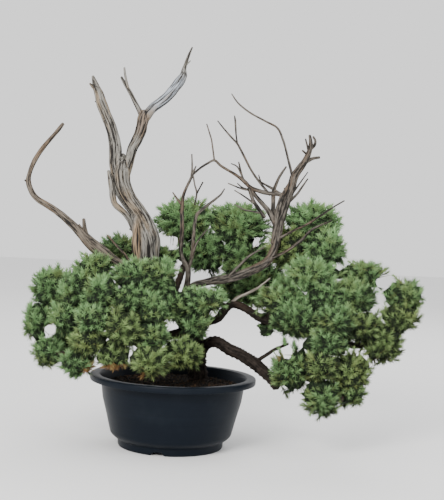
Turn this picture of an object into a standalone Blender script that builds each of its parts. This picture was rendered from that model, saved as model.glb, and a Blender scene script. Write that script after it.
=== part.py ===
# Juniper bonsai with bleached deadwood in a round plastic pot. Metres, +X right, +Y away, +Z up.
import math
import random

import bmesh
import bpy
import numpy as np
from mathutils import Matrix, Vector

# Driving dimensions, in millimetres
MM = 0.001
POT_HEIGHT = 90.0
RIM_RADIUS = 105.0
RIM_BAND = 7.5
MOUTH_RADIUS = 93.0
BODY_RADIUS = 91.0
STEP_RADIUS = 77.5
FOOT_RADIUS = 66.5
FOOT_HEIGHT = 9.0
FLOOR = 6.0
POT_STEPS = 28
NOTCH_WIDTH = 13.0
NOTCH_HEIGHT = 4.5
NOTCH_TURN = math.radians(-100.8)
SOIL_LEVEL = 77.0
SOIL_STEPS = 16
GAP = 0.3
STRAIGHT = 1.2
SOCKET = 0.5
NEEDLE = 6.5
NEEDLE_ROOT = 1.35
LOBE_DEPTH = 1.3
MELT = 4.0
CORE_CORNERS = 12
TIP = 1.0
TIPPED = 0.4
PEAK = 0.88
DIP = 0.6
WALL_GAP = 0.8
SHOOTS = 1.2
USUAL_AREA = 400.0
AREA_POWER = 0.7
UNEVEN = 0.07
SHORTER = 0.94
SINK = 3.0
SHOOT = 11.0
STAND = 1.5
LEAN = 0.15
POT_ROOM = 1.5
WOOD_ROOM = 1.0
NEARBY = 20.0
REACH_OF_WOOD = 70.0
TWIG = 1.4
TWIG_ROOT = 2.24
PIERCED = 0.55
TRUNK_DEPTH = 18.0
SPREAD = 1.5
SEED = 11

# The place that the front view is drawn from: points below are given as they appear from it
EYE = Vector((53.0, -1250.0, 277.0))

# Wood routes: (x, z, y, radius) of each point, x and z as seen from the front, y the depth behind the axis
TRUNK = [(31, 52, 44, 12), (31, 72, 44, 15.5), (31, 83, 43, 13.5), (30.5, 98, 41, 11.5), (28, 118, 36, 11),
         (23, 138, 30, 11.5), (14, 158, 23, 12), (2, 176, 18, 12.5), (-14, 192, 15, 12.5), (-26, 205, 13, 12)]
ROOTS = [
    [(30, 84, 40, 8), (44, 78, 30, 5.5), (56, 74, 22, 3)],
    [(30, 84, 40, 8), (18, 78, 26, 5.5), (8, 74, 14, 3)],
    [(30, 84, 46, 8), (40, 80, 60, 5), (46, 76, 70, 2.5)],
    [(30, 84, 46, 8), (14, 80, 56, 5), (4, 75, 64, 2.5)],
]
LIMBS = {
    "left_high": [(-8, 188, 15, 6), (-40, 188, 2, 5), (-75, 181, -10, 4.2), (-110, 182, -12, 3.4),
                  (-140, 179, -8, 2.6), (-163, 172, 0, 1.8)],
    "left_low": [(20, 148, 26, 6.5), (-10, 138, 8, 5.4), (-45, 130, -12, 4.6), (-80, 126, -22, 3.8),
                 (-115, 117, -26, 3), (-145, 110, -20, 2.4), (-170, 118, -10, 1.6)],
    "arch": [(20, 150, 27, 6.5), (38, 158, 18, 4.6), (52, 163, 12, 4.6), (59, 171, 8, 4.8), (66, 180, 5, 4.8),
             (74, 183, 2, 4.6), (90, 177, 0, 4.4), (107, 167, -3, 5), (119, 164, -4, 6.2), (132, 157, -5, 5.4),
             (165, 150, -5, 4.6), (200, 142, -5, 4.2), (225, 138, -3, 4), (243, 141, 0, 3.6),
             (257, 153, 0, 3), (276, 176, 0, 2.3), (290, 192, -3, 1.6)],
    "low": [(29, 112, 31, 6.5), (40, 130, 20, 6.4), (53, 133.5, 6, 6.6), (71.5, 124.5, 0, 7),
            (84.5, 119, -3, 7), (97.5, 111.5, -5, 7.2), (113.5, 100, -8, 7), (121, 93, -10, 6.4),
            (127.5, 87, -12, 6), (132.5, 79.5, -14, 5.4)],
    "knob": [(50, 131, 8, 5), (52, 139.5, 6, 4.4)],
    "fork": [(106, 113, -5, 2.4), (119, 122, -6, 2.2), (127, 128, -8, 2), (144, 136, -10, 1.5)],
    "skirt": [(121, 94, -10, 4.6), (140, 96, -13, 4.2), (165, 98, -15, 3.8), (195, 96, -17, 3), (222, 92, -13, 2)],
    "sawn": [(165, 97, -15, 3.6), (190, 84, -18, 4.2), (205, 73, -21, 4.4), (216, 67.5, -23, 4.2)],
    "sawn_arch": [(117, 168, -5, 4), (118, 180, -10, 3.2)],
    "sawn_tip": [(241, 140, 0, 3.4), (256, 124, -8, 3.6)],
    "riser": [(119, 168, -2, 4.6), (127, 188, 8, 4), (139, 213, 14, 3.6), (152, 240, 16, 3), (163, 272, 19, 2.4),
              (168, 290, 22, 1.6)],
    "riser_side": [(141, 215, 14, 2.8), (170, 218, 6, 2.6), (205, 224, 8, 2.4), (243, 227, 8, 1.5)],
    "crown": [(-6, 186, 18, 5), (2, 212, 32, 4), (12, 238, 42, 3.6), (36, 262, 46, 3.2), (62, 270, 44, 2.6),
              (92, 270, 44, 1.6)],
    "crown_left": [(8, 228, 38, 2.8), (2, 252, 46, 2.6), (-4, 278, 48, 1.6)],
    "back_left": [(-2, 180, 22, 4.6), (-40, 182, 44, 3.6), (-80, 184, 46, 3), (-112, 182, 44, 2)],
    "back_right": [(12, 162, 28, 4.6), (60, 200, 48, 3.6), (110, 216, 48, 3.2), (150, 214, 44, 2.6),
                   (205, 178, 40, 1.8)],
    "pale_twig": [(66, 181, 4, 2.2), (77, 191.5, 0, 2), (89, 197.5, -2, 1.8), (103.5, 206, -4, 1.6),
                  (117, 218, -5, 0.9)],
    "pale_twig_side": [(102, 205, -4, 1.3), (129, 207.5, -6, 0.9)],
}
TALL_JIN = [(-13, 190, 15, 5.5), (-21, 200, 14, 6), (-29, 211, 13, 13), (-41, 235, 12, 15.5),
            (-42, 256, 11, 16.7), (-44.5, 270, 10, 15), (-49.5, 284, 8, 11.6), (-56.5, 296, 7, 10.3),
            (-66, 307, 6, 10.3), (-73, 318, 5, 11.2), (-77, 330, 4, 11.4), (-78, 342, 3, 11.6),
            (-77.5, 352, 2, 10.6), (-77, 359, 2.5, 7.5), (-76.5, 366, 2.5, 3)]
TALL_LEFT = [(-81, 338, 3, 7.4), (-84.5, 352, 2, 8), (-85.5, 364, 2, 7.8), (-86, 374, 1, 7.6), (-88, 384, 1, 7.2),
             (-91, 394, 0, 6.8), (-94.5, 403, 0, 6.7), (-99, 412, -1, 6.7), (-103, 421, -1, 7),
             (-107, 430, -2, 7), (-110, 440, -2, 6), (-114, 449, -2, 4.7), (-117, 457, -2, 3),
             (-119, 462.5, -2, 1.6)]
TALL_RIGHT = [(-73.5, 338, 2, 6), (-70, 352, 2, 6.2), (-67.5, 363, 2, 6), (-65, 374, 2, 6), (-60.5, 384, 2, 6.5),
              (-56.5, 394, 1, 6.9), (-54, 404, 1, 7.2), (-52.5, 413, 0, 7.6), (-50, 421, 0, 6.2)]
TALL_STRANDS = {
    "slab": [(-51, 413, 0, 6), (-42.5, 424.5, 0, 5.6), (-33, 432.5, -1, 5.8), (-23.5, 441.5, -2, 5.9),
             (-15, 452, -2, 5.9), (-9, 461, -3, 5.9), (-5, 468.5, -3, 4.8), (-4.5, 475, -3, 3), (-3, 481, -3, 2.2),
             (-1, 488, -3, 1.9), (1.5, 496, -4, 1.5), (5, 505, -4, 0.9)],
    "fork_twig": [(-55, 416, 0, 3.6), (-60, 425, 0, 2.9), (-65.5, 434.5, 1, 2.6), (-70.5, 443, 1, 2.5),
                  (-75.5, 451, 2, 2.2), (-80.5, 459, 2, 1.8), (-83, 463, 2, 1.4)],
    "fork_tip": [(-73, 447.5, 1, 1.6), (-76.5, 459, 0, 1.4), (-78.5, 467, 0, 1.3), (-79.7, 475, 0, 1.1)],
    "loop": [(-94, 344.5, -2, 1.6), (-90.5, 333, -3, 3.4), (-88.5, 322, -3, 3.7), (-87, 312, -2, 3.9),
             (-84, 303, 0, 3.8), (-77.5, 297, 2, 3.7), (-70, 290.5, 4, 3.6), (-63.5, 282, 5, 3.7),
             (-58, 272, 6, 4), (-53.5, 262, 7, 4.2)],
    "tan": [(-60, 292, -1, 2.6), (-57, 280, -5, 3.9), (-55.5, 266, -6, 4.6), (-55, 252, -6, 4.9),
            (-53, 238, -4, 4.9), (-46, 220, 2, 4)],
    "stub_top": [(-111, 442, -2, 2.4), (-118, 449, -3, 2), (-122.5, 453, -3, 1)],
    "stub_side": [(-105, 425, -2, 2), (-114.5, 431, -3, 0.9)],
    "stub_low": [(-55, 269, -4, 2.2), (-64, 272, -5, 1)],
    "spur": [(-2, 482, -3, 1.2), (3.5, 487.5, -3, 0.6)],
}
LEFT_JIN = [(-28, 207, 11, 3.6), (-42, 213, 6, 4.6), (-52, 218, 2, 5.4), (-62, 222, -2, 5.6), (-71, 225.5, -4, 5.8),
            (-81, 230, -6, 6.7), (-91, 236, -8, 7.4), (-101, 243.5, -10, 7.8), (-111.5, 251, -12, 7.4),
            (-119.5, 258, -14, 6.5), (-127, 265.5, -15, 5.6), (-134, 272, -16, 4.9), (-142, 278.5, -17, 4.5),
            (-150, 285, -18, 4.3), (-160, 292, -19, 4), (-170, 297.5, -19, 3.8), (-180, 303, -20, 3.6),
            (-187.5, 310, -20, 3.4), (-192.5, 319, -20, 3.3), (-194.5, 327, -20, 3.1), (-193.5, 335, -20, 2.7),
            (-191, 344, -20, 2.7), (-187.5, 353, -20, 2.9), (-182.5, 362, -20, 2.8), (-176.5, 371, -20, 2.8),
            (-170, 379.5, -20, 2.5), (-163, 388, -20, 2.3), (-158, 394.5, -20, 2.4), (-153.5, 401, -20, 1.9)]
LEFT_STUBS = {
    "spur": [(-193.5, 325, -20, 2.2), (-199.5, 327.5, -20, 1)],
    "stub": [(-117, 257, -14, 3.5), (-120.5, 270, -16, 2.6), (-122.5, 282, -17, 1.9)],
    "spike": [(-121, 265, -15, 1.7), (-128, 275, -17, 0.8)],
    "twig": [(-60, 225, -4, 2), (-68, 239, -8, 1.4), (-80, 251, -9, 1.2), (-92, 263, -10, 0.8)],
}
ARCH = [(-1, 178, 18, 4.6), (11, 194, 12, 5), (22, 204.5, 8, 4.7), (34, 208.5, 4, 4.4), (47, 212, 1, 4.9),
        (60, 214, -2, 5.3), (73, 218, -4, 5.5), (86, 223.5, -5, 5.5), (98, 229, -5, 5.5), (107.5, 235, -4, 5.3),
        (114.5, 242.5, -3, 5), (119.5, 253, -2, 4.9), (122.5, 265, 0, 4.9), (124.5, 277, 1, 4.9),
        (126.5, 290, 2, 5.1), (129, 303, 3, 5.4), (132, 314, 3, 5.5), (135.5, 325, 3, 5.5),
        (138.5, 337, 3, 5.3), (141.5, 348, 4, 5), (148, 359, 4, 4.6), (154, 368.5, 5, 3.9),
        (158, 378, 5, 3.3), (160, 387, 5, 2.8), (159.5, 394, 5, 2.2), (158, 401, 5, 1.5)]
ARCH_TWIGS = {
    "crook": [(159, 383, 5, 2.2), (164.5, 388.5, 6, 1.9), (165.5, 394, 6, 1.5), (162.5, 399.5, 6, 1.2)],
    "spur_right": [(154, 367, 5, 2.8), (163, 371.5, 6, 2), (172, 373.5, 7, 1.5)],
    "spur_left": [(156.5, 376, 5, 1.6), (149.5, 381.5, 4, 1)],
    "spur_top": [(157, 383, 5, 1.4), (153, 396, 5, 0.9)],
    "ridge": [(117.5, 262, -3, 2.4), (121, 291, -1, 3.4), (123, 305, 0, 3.6), (126, 317, 0, 3.4),
              (130, 328, 1, 2.8), (136, 339, 2, 2)],
    "feeder_low": [(120, 287, 0, 3.4), (111, 302.5, 0, 3.2), (103, 311, 0, 2.8), (95, 319.5, -1, 2.5),
                   (88, 328, -1, 2.3), (81, 337, -2, 2.1), (74, 343, -2, 1.7)],
    "feeder_up": [(119.5, 292, 3, 2.8), (116.5, 305, 4, 2.7), (116, 316, 4, 2.6), (116, 328, 4, 2.4),
                  (118.5, 337, 4, 1.9), (121.5, 345, 4, 1.7), (126, 353, 4, 1.5), (130.5, 360, 4, 1.1)],
    "feeder_end": [(106, 294.5, -3, 2.3), (101, 301, -3, 2.3), (95, 309, -3, 2.2), (90, 317, -2, 2.1),
                   (84, 331, -1, 1.9)],
    "cross": [(131, 318, 2, 3), (126.5, 323.5, 2, 2.9), (119, 325, 2, 2.7), (107, 325.5, 1, 2.5),
              (96, 328, 0, 2.5), (87, 331.5, -1, 2.4), (78, 339, -2, 2.2), (71, 344, -2, 1.9),
              (63, 349, -3, 1.7), (48, 357, -4, 1.6), (39.5, 363.5, -4, 1.5), (31, 359.5, -3, 1.4),
              (22.5, 353.5, -3, 1.4), (13.5, 345, -2, 1.4)],
    "cross_tip": [(39.5, 362.5, -4, 1.2), (35, 387, -5, 1), (31.5, 398, -5, 0.9), (27.5, 409, -5, 0.7)],
    "long": [(112, 323, 2, 1.7), (104.5, 331, 3, 1.6), (99, 337, 3, 1.5), (91, 347, 3, 1.4), (83.5, 358, 4, 1.4),
             (74, 375, 4, 1.4), (67.5, 385.5, 5, 1.3), (59.5, 393.5, 5, 1.2), (50, 403.5, 5, 1),
             (41, 413.5, 5, 0.7)],
    "long_side": [(68, 384.5, 5, 1), (65.5, 395, 5, 1), (63.5, 414, 4, 1.2), (62, 421, 4, 0.7)],
    "brace": [(127, 323.5, 3, 1.8), (115, 331, 4, 1.6), (108, 334.5, 4, 1.4), (97, 340, 4, 1)],
    "brace_side": [(99.5, 338, 3.5, 1.1), (96, 348, 2, 0.7)],
    "sweep": [(139, 347, 4, 1.8), (133, 367, 5, 1.4), (129, 381, 6, 1.3), (124.5, 393.5, 6, 1.3),
              (117, 408, 6, 1.2), (101, 416, 7, 1.1), (80, 426.5, 7, 1.1), (66, 437, 8, 1), (57, 448.5, 8, 0.6)],
    "sweep_stub": [(117.5, 406.5, 6, 1), (113.5, 411.5, 6, 0.7)],
    "brush": [(78, 338, -2, 1.5), (74, 349, -3, 1.3), (70, 363, -3, 0.8)],
    "brush_side": [(74.5, 347, -3, 1.1), (68.5, 357, -4, 0.9), (60.5, 360.5, -4, 0.6)],
    "needle_a": [(89, 330, 0, 1.4), (79, 328.5, 1, 1.1), (58, 335.5, 1, 0.7)],
    "needle_b": [(84, 328.5, 0, 1.2), (76, 331, 3, 1), (69.5, 336, 3, 0.7)],
    "needle_c": [(93, 311, -3, 1.3), (79, 320, -4, 1), (66.5, 327, -4, 0.7)],
    "needle_d": [(101, 300, -3, 1.4), (90, 301.5, -6, 1.1), (79.5, 303, -8, 1), (67.5, 309.5, -8, 0.7)],
    "whip_a": [(134, 318, 5, 1.6), (143, 331, 7, 1.2), (158, 354.5, 8, 0.7)],
    "whip_b": [(132, 311, 5, 1.8), (145, 325, 8, 1.4), (150.5, 333.5, 9, 1.3), (158.5, 346, 9, 0.8)],
    "thorn": [(134, 325, 1, 1.5), (129, 333, 0, 0.8)],
    "light_a": [(116, 243, -5, 2), (135.5, 253, -15, 1.6), (146, 261, -17, 1.6), (155, 269, -17, 1.5),
                (168.5, 283, -10, 1.4), (191.5, 294.5, -6, 0.9)],
    "light_b": [(124.5, 268, -2, 1.8), (134, 274, -6, 1.4), (146, 281, -6, 1.3), (163.5, 290.5, -6, 1.3),
                (191.5, 311, -4, 1), (206, 320.5, -3, 0.8)],
    "light_c": [(60, 214, -4, 2), (69, 223.5, -8, 1.6), (80, 235.5, -6, 1.5), (89.5, 245, -4, 1.4),
                (107, 257, 0, 0.8)],
    "mid_stem": [(9, 192, 13, 3.8), (12.5, 210, 8, 3.5), (12, 226, 5, 3.3), (6, 235, 4, 2.7), (2.5, 246, 3, 2.5),
                 (2.6, 262, 0, 2.5), (2.2, 282, -2, 2.4), (1.2, 304, -3, 2.3), (3, 320, -3, 1.9),
                 (11, 340.5, -2, 1.6), (14, 349, -2, 1.3), (16.5, 355.5, -2, 0.7)],
    "mid_tip": [(11, 339, -2, 1.3), (11.6, 354, -3, 1.1), (10.5, 370, -3, 0.8)],
    "mid_side": [(0.5, 306, -3, 1.7), (-6, 313.5, -4, 1.3), (-11.5, 321, -4, 0.7)],
    "mid_down": [(13, 344, -2, 1.1), (16, 331, -1, 1), (19, 321, 0, 1.1), (17, 306, 3, 0.9)],
    "mid_down_tip": [(18.7, 319.5, 0, 1), (21.5, 326, -1, 0.9), (26, 335.5, -2, 0.9)],
    "mid_right": [(11.5, 222, 6, 2.8), (16, 238, 2, 2.4), (17.5, 252, 0, 2.4), (17.5, 266, -2, 2.3),
                  (19.5, 291, -3, 2), (26, 300, -4, 1.8), (42, 314, -5, 1.4), (49.5, 321, -5, 1.1),
                  (54, 328.5, -5, 0.7)],
    "mid_light": [(16.5, 238, 1, 1.6), (22, 258.5, -5, 1.2), (34, 276, -5, 0.8)],
}

# Sprays, one rounded mass of shoots each: (x, z, y, half width, half height, half depth)
SPRAYS = {
    "spray_left_01": (-158, 193, 4, 28, 29, 22),
    "spray_left_02": (-176, 150, -3, 16, 28, 18),
    "spray_left_03": (-160, 111, -10, 22, 20, 18),
    "spray_left_04": (-124, 99, -30, 25, 19, 18),
    "spray_left_05": (-128, 194, -20, 22, 28, 19),
    "spray_left_06": (-105, 220, -4, 27, 25, 20),
    "spray_left_07": (-97, 190, -34, 22, 23, 18),
    "spray_left_08": (-138, 155, -24, 20, 22, 18),
    "spray_left_09": (-106, 156, -44, 23, 21, 18),
    "spray_left_10": (-108, 128, -40, 24, 19, 18),
    "spray_left_11": (-78, 111, -38, 23, 19, 16),
    "spray_left_12": (-83, 243, 36, 28, 17, 16),
    "spray_mid_01": (-56, 215, -26, 22, 21, 18),
    "spray_mid_02": (-28, 207, -26, 20, 19, 17),
    "spray_mid_03": (-60, 184, -38, 20, 18, 17),
    "spray_mid_04": (-8, 190, -16, 18, 19, 16),
    "spray_mid_05": (-33, 172, -34, 21, 20, 17),
    "spray_mid_06": (-66, 146, -46, 21, 25, 18),
    "spray_mid_07": (-32, 140, -34, 22, 21, 18),
    "spray_mid_08": (-30, 106, -44, 28, 22, 18),
    "spray_mid_09": (12, 118, -24, 28, 22, 17),
    "spray_mid_10": (20, 156, -8, 17, 18, 15),
    "spray_mid_11": (36, 187, -17, 34, 18, 15),
    "spray_mid_12": (-24, 236, 34, 24, 20, 17),
    "spray_top_01": (6, 286, 46, 39, 30, 21),
    "spray_top_02": (31, 247, 46, 38, 24, 18),
    "spray_top_03": (73, 284, 44, 44, 30, 21),
    "spray_top_04": (84, 242, 46, 36, 27, 19),
    "spray_top_05": (167, 293, 22, 41, 26, 20),
    "spray_top_06": (139, 258, 18, 28, 28, 18),
    "spray_top_07": (185, 261, 6, 28, 27, 18),
    "spray_top_08": (172, 226, -6, 38, 20, 18),
    "spray_right_01": (237, 228, 8, 33, 19, 18),
    "spray_right_02": (289, 204, -3, 29, 22, 19),
    "spray_right_03": (285, 176, -8, 25, 19, 17),
    "spray_right_04": (267, 142, -4, 25, 29, 17),
    "spray_right_05": (227, 195, -8, 24, 21, 18),
    "spray_right_06": (194, 198, -12, 22, 20, 17),
    "spray_right_07": (144, 191, -6, 38, 21, 17),
    "spray_right_08": (237, 163, -12, 24, 20, 16),
    "spray_right_09": (205, 169, -26, 24, 20, 18),
    "spray_right_10": (156, 166, -18, 28, 19, 16),
    "spray_right_11": (192, 138, -27, 36, 18, 17),
    "spray_right_12": (152, 101, -18, 23, 29, 17),
    "spray_right_13": (188, 109, -30, 23, 17, 16),
    "spray_right_14": (223, 101, -16, 23, 22, 16),
    "spray_right_15": (190, 69, -26, 27, 27, 17),
    "spray_right_16": (221, 73, -12, 19, 18, 15),
    "spray_right_17": (112, 152, 2, 17, 12, 13),
    "spray_back_01": (-110, 178, 46, 30, 28, 25),
    "spray_back_02": (-135, 132, 36, 26, 22, 22),
    "spray_back_03": (-52, 180, 58, 30, 28, 26),
    "spray_back_04": (110, 211, 42, 38, 26, 22),
    "spray_back_05": (205, 160, 42, 32, 28, 24),
}
# Gaps that show right through the foliage: (x, z, radius)
HOLES = [(-160, 140, 9), (-1, 147, 8), (4, 202, 5), (4, 212, 6), (-20, 259, 4.5), (-12, 259, 4.5), (-5, 259, 4.5),
         (-10.5, 249, 2.5), (97, 259, 4), (98, 267, 2.5), (25, 215, 4), (33, 242, 3), (258, 218, 6), (60, 150, 16),
         (75, 122, 14), (95, 146, 12), (110, 128, 14), (142, 127, 8), (104, 112, 6)]
OLIVE = ("spray_left_10", "spray_left_11", "spray_mid_06", "spray_mid_08", "spray_mid_09", "spray_right_03",
         "spray_right_04", "spray_right_08", "spray_right_13", "spray_right_14", "spray_top_06")
DEEP = ("spray_left_12", "spray_back_01", "spray_back_02", "spray_back_03", "spray_back_05")


def clear_scene():
    for obj in list(bpy.data.objects):
        bpy.data.objects.remove(obj, do_unlink=True)


def deeper(y, spread):
    """The depth y moved away from the trunk's own depth by the spread."""
    return TRUNK_DEPTH + (y - TRUNK_DEPTH) * spread


def collection(name, hidden=False):
    """A new collection of the scene."""
    made = bpy.data.collections.new(name)
    bpy.context.scene.collection.children.link(made)
    made.hide_render = hidden
    return made


def material(name, color, roughness):
    made = bpy.data.materials.new(name)
    made.use_nodes = True
    shader = made.node_tree.nodes["Principled BSDF"]
    shader.inputs["Base Color"].default_value = (*color, 1.0)
    shader.inputs["Roughness"].default_value = roughness
    made.diffuse_color = (*color, 1.0)
    return made


def seen(x, z, y):
    """The point y behind the axis that hides behind (x, z) of the axis plane, looked at from EYE."""
    share = 1 - y / EYE.y
    return Vector((EYE.x + (x - EYE.x) * share, y, EYE.z + (z - EYE.z) * share))


def profile(sides, groove=0.0):
    """A closed outline of unit size for a tube; every second corner lies deeper by the groove share."""
    name = f"profile_{sides}_{groove}"
    if name in bpy.data.objects:
        return bpy.data.objects[name]
    data = bpy.data.curves.new(name, "CURVE")
    data.dimensions = "2D"
    spline = data.splines.new("POLY")
    spline.points.add(sides - 1)
    for i, point in enumerate(spline.points):
        reach = MM * (1 - groove * (i % 2))
        turn = 2 * math.pi * i / sides
        point.co = (reach * math.cos(turn), reach * math.sin(turn), 0, 1)
    spline.use_cyclic_u = True
    return bpy.data.objects.new(name, data)


def tube(name, spots, radii, home, outline, grow=0.0, turn=0.0):
    """A closed mesh along the spots with filled ends; grow widens and lengthens it, for a cutter."""
    data = bpy.data.curves.new(name, "CURVE")
    data.dimensions = "3D"
    data.use_fill_caps = True
    data.bevel_mode = "OBJECT"
    data.bevel_object = outline
    spots = [spot.copy() for spot in spots]
    spots[0] += (spots[0] - spots[1]).normalized() * grow
    spots[-1] += (spots[-1] - spots[-2]).normalized() * grow
    spline = data.splines.new("POLY")
    spline.points.add(len(spots) - 1)
    for i, (point, spot, radius) in enumerate(zip(spline.points, spots, radii)):
        point.co = (*(spot * MM), 1)
        point.radius = radius + grow
        point.tilt = turn * i
    curve = bpy.data.objects.new(name + "_route", data)
    home.objects.link(curve)
    return as_mesh(curve, name, home)


def straightened(rows):
    """The rows of x, y, z and radius without those that lie on the straight run between their neighbours."""
    if len(rows) < 3:
        return rows
    start, end = rows[0], rows[-1]
    run = end[:3] - start[:3]
    worst, place = 0.0, 0
    for i, row in enumerate(rows[1:-1], 1):
        share = np.clip((row[:3] - start[:3]) @ run / (run @ run), 0, 1)
        off = np.linalg.norm(start + (end - start) * share - row)
        if off > worst:
            worst, place = off, i
    if worst < STRAIGHT:
        return np.array([start, end])
    return np.vstack((straightened(rows[:place + 1])[:-1], straightened(rows[place:])))


def branch(name, route, home, grow=0.0, outline=None, turn=0.0, spread=1.0):
    """A tube along a route of the tables, with fewer sides where it is thin, and fewest inside the foliage."""
    rows = straightened(np.array([(*seen(x, z, deeper(y, spread)), radius) for x, z, y, radius in route]))
    radii = rows[:, 3]
    thick = max(radii)
    sides = 3 if thick < (3 if spread == 1 else 6.2) else 4 if thick < 5.5 else 6
    spots = [Vector(row[:3]) for row in rows]
    return tube(name, spots, radii, home, outline or profile(sides), grow, turn)


def as_mesh(source, name, home):
    """The object's evaluated shape as a mesh object of its own; the source is removed."""
    bpy.context.view_layer.update()
    graph = bpy.context.evaluated_depsgraph_get()
    mesh = bpy.data.meshes.new_from_object(source.evaluated_get(graph))
    mesh.transform(source.matrix_world)
    welder = bmesh.new()
    welder.from_mesh(mesh)
    bmesh.ops.remove_doubles(welder, verts=welder.verts, dist=1e-6)
    bmesh.ops.recalc_face_normals(welder, faces=welder.faces)
    welder.to_mesh(mesh)
    welder.free()
    bpy.data.objects.remove(source, do_unlink=True)
    made = bpy.data.objects.new(name, mesh)
    home.objects.link(made)
    return made


def combine(base, others, operation, home):
    """One Boolean of the base with every object of the list, applied; the others are removed."""
    tools = collection(base.name + "_tools", hidden=True)
    for other in others:
        for owner in list(other.users_collection):
            owner.objects.unlink(other)
        tools.objects.link(other)
    modifier = base.modifiers.new(operation.lower(), "BOOLEAN")
    modifier.operation = operation
    modifier.operand_type = "COLLECTION"
    modifier.collection = tools
    modifier.solver = "MANIFOLD"
    name = base.name
    base.name = name + "_raw"
    made = as_mesh(base, name, home)
    for other in others:
        bpy.data.objects.remove(other, do_unlink=True)
    bpy.data.collections.remove(tools)
    return made


def keep_largest(obj):
    """Drops every loose scrap and sealed hollow, and keeps the largest closed surface."""
    body = bmesh.new()
    body.from_mesh(obj.data)
    left = set(body.faces)
    surfaces = []
    while left:
        found = {left.pop()}
        border = list(found)
        while border:
            edges = {edge for face in border for edge in face.edges if len(edge.link_faces) == 2}
            near = {face for edge in edges for face in edge.link_faces} - found
            found |= near
            border = list(near)
        left -= found
        surfaces.append(found)
    surfaces.sort(key=len)
    for scrap in surfaces[:-1]:
        bmesh.ops.delete(body, geom=list(scrap), context="FACES")
    body.to_mesh(obj.data)
    body.free()


def revolve(name, outline, steps, home):
    """The closed solid that the outline, from the axis and back to it, sweeps round the axis."""
    mesh = bpy.data.meshes.new(name + "_outline")
    mesh.from_pydata([(r * MM, 0, z * MM) for r, z in outline], [(i, i + 1) for i in range(len(outline) - 1)], [])
    raw = bpy.data.objects.new(name + "_outline", mesh)
    home.objects.link(raw)
    screw = raw.modifiers.new("turn", "SCREW")
    screw.steps = steps
    screw.render_steps = steps
    screw.use_merge_vertices = True
    screw.merge_threshold = 0.00001
    screw.use_smooth_shade = False
    return as_mesh(raw, name, home)


def build_pot(home):
    inner = [(0, FLOOR), (FOOT_RADIUS - 4, FLOOR), (STEP_RADIUS - 3, 22), (BODY_RADIUS - 5, 60),
             (MOUTH_RADIUS, POT_HEIGHT)]
    rim = [(RIM_RADIUS - 1.5, POT_HEIGHT), (RIM_RADIUS, POT_HEIGHT - 1.5), (RIM_RADIUS, POT_HEIGHT - RIM_BAND),
           (BODY_RADIUS, POT_HEIGHT - RIM_BAND)]
    body = [(BODY_RADIUS - 3, 60), (STEP_RADIUS + 5, 40), (STEP_RADIUS, 20), (STEP_RADIUS - 2, 15.5),
            (FOOT_RADIUS + 2.5, 10.5)]
    foot = [(FOOT_RADIUS + 0.5, FOOT_HEIGHT - 1), (FOOT_RADIUS, 2), (FOOT_RADIUS - 2, 0), (FOOT_RADIUS - 9, 0),
            (FOOT_RADIUS - 11, 3), (0, 3)]
    pot = revolve("pot", inner + rim + body + foot, POT_STEPS, home)
    notches = []
    for i in range(3):
        bpy.ops.mesh.primitive_cone_add(vertices=4, radius1=1.0, radius2=0.55, depth=2.0, end_fill_type="NGON")
        notch = bpy.context.object
        notch.data.transform(Matrix.Rotation(math.radians(45), 4, "Z"))
        half = NOTCH_WIDTH * MM * 0.5 * math.sqrt(2)
        notch.data.transform(Matrix.Diagonal((8 * MM, half, NOTCH_HEIGHT * MM, 1)))
        turn = Matrix.Rotation(NOTCH_TURN + i * math.tau / 3, 4, "Z")
        notch.data.transform(turn @ Matrix.Translation((FOOT_RADIUS * MM, 0, 0)))
        notches.append(notch)
    return combine(pot, notches, "DIFFERENCE", home)


def build_soil(home, dice):
    side = STEP_RADIUS - 3
    outline = [(0, FLOOR + GAP), (FOOT_RADIUS - 4.5, FLOOR + GAP), (side - 0.5, 22), (BODY_RADIUS - 5.6, 60),
               (BODY_RADIUS - 3, SOIL_LEVEL - 2), (68, SOIL_LEVEL + 0.5), (40, SOIL_LEVEL + 2),
               (0, SOIL_LEVEL + 3)]
    soil = revolve("soil", outline[::-1], SOIL_STEPS, home)
    for vertex in soil.data.vertices:
        if vertex.co.z > (SOIL_LEVEL + 0.5) * MM:
            vertex.co.z += dice.uniform(-1.6, 1.6) * MM
    flip_if_inward(soil)
    return soil


def flip_if_inward(obj):
    body = bmesh.new()
    body.from_mesh(obj.data)
    bmesh.ops.recalc_face_normals(body, faces=body.faces)
    if body.calc_volume(signed=True) < 0:
        bmesh.ops.reverse_faces(body, faces=body.faces)
    body.to_mesh(obj.data)
    body.free()


def wood(name, stems, branches, home, grow=0.0):
    """Grooved stems and their twigs joined; grow widens them all, for a cutter."""
    outline = profile(8, 0.22) if len(stems) > 1 else profile(6, 0.16)
    parts = [branch(f"{name}_stem_{i}", route, home, grow, outline, 0.09) for i, route in enumerate(stems)]
    parts += [branch(f"{name}_{key}", route, home, grow) for key, route in branches.items()]
    parts[0].name = name
    made = combine(parts[0], parts[1:], "UNION", home)
    keep_largest(made)
    return made


def as_points(routes, spread=1.0):
    """Every route as points along it, about every 3 mm, with the radius there: rows of x, y, z, radius."""
    rows = []
    for route in routes:
        ends = [(*seen(x, z, deeper(y, spread)), radius) for x, z, y, radius in route]
        for a, b in zip(ends, ends[1:]):
            a, b = np.array(a), np.array(b)
            count = max(2, int(np.linalg.norm(b[:3] - a[:3]) / 3))
            rows += [a + (b - a) * i / count for i in range(count + 1)]
    return np.array(rows)


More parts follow.
